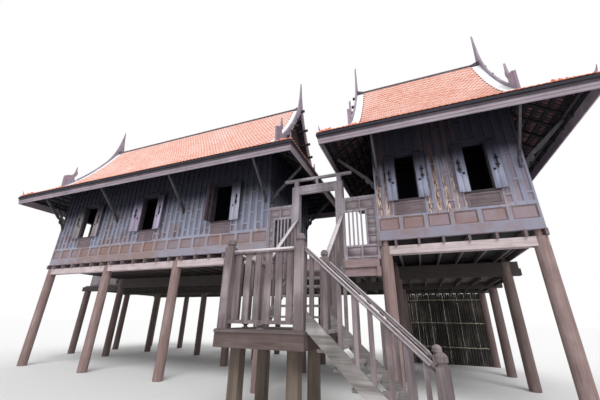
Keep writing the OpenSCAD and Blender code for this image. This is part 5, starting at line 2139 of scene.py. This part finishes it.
@dataclass
class RailTops:
    """A painted highlight: a pale board over the upper part of the stair rails and landing balustrade, where
    the light falls.

    The flights are the places of the rails' tops where they start and end. A
    rail of the lower flight is covered down to a lower depth than the others.
    """

    proud: float = 0.006
    half: float = 0.043
    upper: float = 0.026
    lower: float = 0.051
    upper_flight: tuple[Pair, ...] = ((-1.66, 2.699), (-0.16, 4.060))
    lower_flight: tuple[Pair, ...] = ((3.86, 1.165), (2.35, 2.583))
    left: float = 1.01
    right: float = 2.24
    front: float = -3.00
    back: float = -1.76
    landing: float = 2.611
    front_rail: Pair = (1.10, 2.15)
    left_rail: Pair = (-2.90, -1.86)

    def rails(self) -> list[tuple[np.ndarray, np.ndarray, float]]:
        """Lists the rails.

        Returns:
            For each rail the ends of its top and how far down it is covered.
        """
        rails = []
        for x in (self.left, self.right):
            start, end = (np.array([x, y, z]) for y, z in self.upper_flight)
            rails.append((start, end, self.upper))
        for y in (self.front, self.back):
            start, end = (np.array([x, y, z]) for x, z in self.lower_flight)
            rails.append((start, end, self.lower))
        start, end = (np.array([x, self.front, self.landing]) for x in self.front_rail)
        rails.append((start, end, self.upper))
        start, end = (np.array([self.left, y, self.landing]) for y in self.left_rail)
        rails.append((start, end, self.upper))
        return rails

    def build(self) -> None:
        """Makes a board over the upper part of each rail.

        Its axes are the rail's direction, the level line across it and their
        product.
        """
        shape = Shape()
        for start, end, sunk in self.rails():
            length = float(np.linalg.norm(end - start))
            along = (end - start) / length
            across = unit(np.cross(UP, along))
            up = np.cross(along, across)
            turn = np.stack([along, across, up], axis=1)
            scale = np.array([length, 2 * self.half, sunk + self.proud])
            corner = start - across * self.half - up * sunk
            shape.repeat(BOX_POINTS, BOX_FACES, corner, turns=turn, scales=scale)
        # The boards are a painted highlight on the rail tops.
        shape.piece("rail_highlight_boards", RAIL_HIGHLIGHT, "stair_wood")


@dataclass
class ScreenSticks:
    """Thin sticks behind the gaps of the log screen, and its lashings.

    One gap in every so many stays open, from the first of them on. Behind and
    in front are how far the sticks and the lashings lie from the middle of the
    logs, and the rings are the number of rings along each.
    """

    x0: float = 3.34
    x1: float = 6.10
    y: float = 7.4
    gaps: int = 29
    open_every: int = 6
    open_first: int = 3
    behind: float = 0.045
    height: float = 2.60
    uneven: Pair = (-0.10, 0.05)
    thickness: Pair = (0.009, 0.014)
    lean: float = 0.006
    stick_rings: int = 5
    in_front: float = 0.052
    lashings: tuple[float, ...] = (0.62, 1.52, 2.42)
    lashing_radius: float = 0.013
    lashing_end: float = 0.01
    lashing_rings: int = 24
    sway: float = 0.008
    sides: int = 6
    seed: int = 4

    def build(self) -> None:
        """Carries rings up the sticks and along the lashings, slightly bent."""
        chance = np.random.default_rng(self.seed)
        step = (self.x1 - self.x0) / (self.gaps + 1)
        shape = Shape()
        for gap in range(1, self.gaps + 1):
            if gap % self.open_every == self.open_first:
                continue
            lean = chance.uniform(-self.lean, self.lean, self.stick_rings)
            head = self.height + chance.uniform(*self.uneven)
            height = np.linspace(0.0, head, self.stick_rings)
            x = self.x0 + gap * step + lean
            path = np.column_stack([x, np.full_like(x, self.y + self.behind), height])
            shape.tube(path, np.full_like(x, chance.uniform(*self.thickness)), self.sides)
        left, right = self.x0 + self.lashing_end, self.x1 - self.lashing_end
        x = np.linspace(left, right, self.lashing_rings)
        for height in self.lashings:
            sway = chance.uniform(-self.sway, self.sway, self.lashing_rings)
            path = np.column_stack([x, np.full_like(x, self.y - self.in_front), height + sway])
            shape.tube(path, np.full_like(x, self.lashing_radius), self.sides)
        shape.piece("screen_sticks", STICK, "screen_logs")


@dataclass
class Camera:
    """The camera at the photograph's viewing angle, in the frame of the model.

    Yaw turns it to the left, pitch tilts it up and roll leans it, in radians.
    """

    place: Triple = (5.813, -9.2595, 1.604)
    yaw: float = 0.377
    pitch: float = 0.387
    roll: float = 0.015
    lens: float = 17.456
    sensor: float = 36.0
    reach: float = 500.0

    def build(self) -> None:
        """Places the camera from its turn, tilt and roll."""
        level = np.array([math.cos(self.yaw), math.sin(self.yaw), 0.0])
        ahead = np.array([-math.sin(self.yaw), math.cos(self.yaw), 0.0])
        raised = math.cos(self.pitch) * ahead + math.sin(self.pitch) * UP
        lifted = -math.sin(self.pitch) * ahead + math.cos(self.pitch) * UP
        right = math.cos(self.roll) * level + math.sin(self.roll) * lifted
        up = -math.sin(self.roll) * level + math.cos(self.roll) * lifted
        matrix = np.eye(4)
        matrix[:3] = np.column_stack([right, up, -raised, self.place])
        data = bpy.data.cameras.new("camera")
        data.lens = self.lens
        data.sensor_width = self.sensor
        data.clip_end = self.reach
        camera = bpy.data.objects.new("camera", data)
        camera.matrix_world = Matrix(matrix.tolist())
        bpy.context.scene.collection.objects.link(camera)
        bpy.context.scene.camera = camera


@dataclass(frozen=True)
class Lamp:
    """A broad lamp far away, with its turn in radians."""

    name: str
    energy: float
    turn: Triple
    width: float = 0.6

    def build(self) -> None:
        """Makes the lamp."""
        data = bpy.data.lights.new(self.name, "SUN")
        data.energy = self.energy
        data.angle = self.width
        lamp = bpy.data.objects.new(self.name, data)
        lamp.rotation_euler = self.turn
        bpy.context.scene.collection.objects.link(lamp)


@dataclass
class Stage:
    """The pale floor, the soft lamps and the white background."""

    floor_colour: Colour = (0.88, 0.88, 0.88)
    floor_roughness: float = 0.9
    floor_half: float = 120.0
    ambient: float = 0.62
    key: Lamp = Lamp("key", 2.2, (0.70, 0.10, 0.35))
    fill: Lamp = Lamp("fill", 0.5, (0.9, 0.0, 3.6))

    def build(self) -> None:
        """Makes the floor, the world and the lamps."""
        self.floor()
        self.world()
        self.key.build()
        self.fill.build()
        bpy.context.scene.view_settings.view_transform = "Standard"

    def floor(self) -> None:
        """Makes the level floor under the house."""
        mesh = bpy.data.meshes.new("floor")
        half = self.floor_half
        corners = [(-half, -half, 0.0), (half, -half, 0.0), (half, half, 0.0), (-half, half, 0.0)]
        mesh.from_pydata(corners, [], [(0, 1, 2, 3)])
        paint = bpy.data.materials.new("floor")
        paint.use_nodes = True
        shader = paint.node_tree.nodes["Principled BSDF"]
        shader.inputs["Base Color"].default_value = linear(self.floor_colour)
        shader.inputs["Roughness"].default_value = self.floor_roughness
        mesh.materials.append(paint)
        floor = bpy.data.objects.new("floor", mesh)
        bpy.context.scene.collection.objects.link(floor)

    def world(self) -> None:
        """Lights the scene evenly and shows white to the camera."""
        world = bpy.data.worlds.new("world")
        world.use_nodes = True
        bpy.context.scene.world = world
        graph = Graph(world.node_tree)
        background = world.node_tree.nodes["Background"]
        background.inputs["Color"].default_value = (1.0, 1.0, 1.0, 1.0)
        path = graph.node("ShaderNodeLightPath")
        seen = graph.math("MAXIMUM", path.outputs["Is Camera Ray"], path.outputs["Is Glossy Ray"])
        seen = graph.math("MAXIMUM", seen, path.outputs["Is Transmission Ray"])
        strength = graph.math("ADD", graph.times(seen, 1.0 - self.ambient), self.ambient)
        graph.join(strength, background.inputs["Strength"])


def write_sizes() -> None:
    """Updates the view layer."""
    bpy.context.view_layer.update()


def main() -> None:
    """Builds the camera, the stage and every piece of the house."""
    Camera().build()
    Stage().build()
    dress_frame()
    for house in (LONG, SHORT):
        MainRoofTiles(house).build()
        SkirtTiles(house).build()
        HipCaps(house).build()
        EaveSpikes(house).build()
        Soffit(house).build()
        PanelBeads(house).build()
        GableBattens(house).build()
        BargeMouldings(house).build()
        EaveShadeStrips(house).build()
    ApronCarving().build()
    ShutterWood().build()
    ShutterLatches().build()
    for floor in BOARD_FLOORS:
        floor.build()
    GateTrim().build()
    RailTops().build()
    ScreenSticks().build()
    write_sizes()


if __name__ == "__main__":
    main()
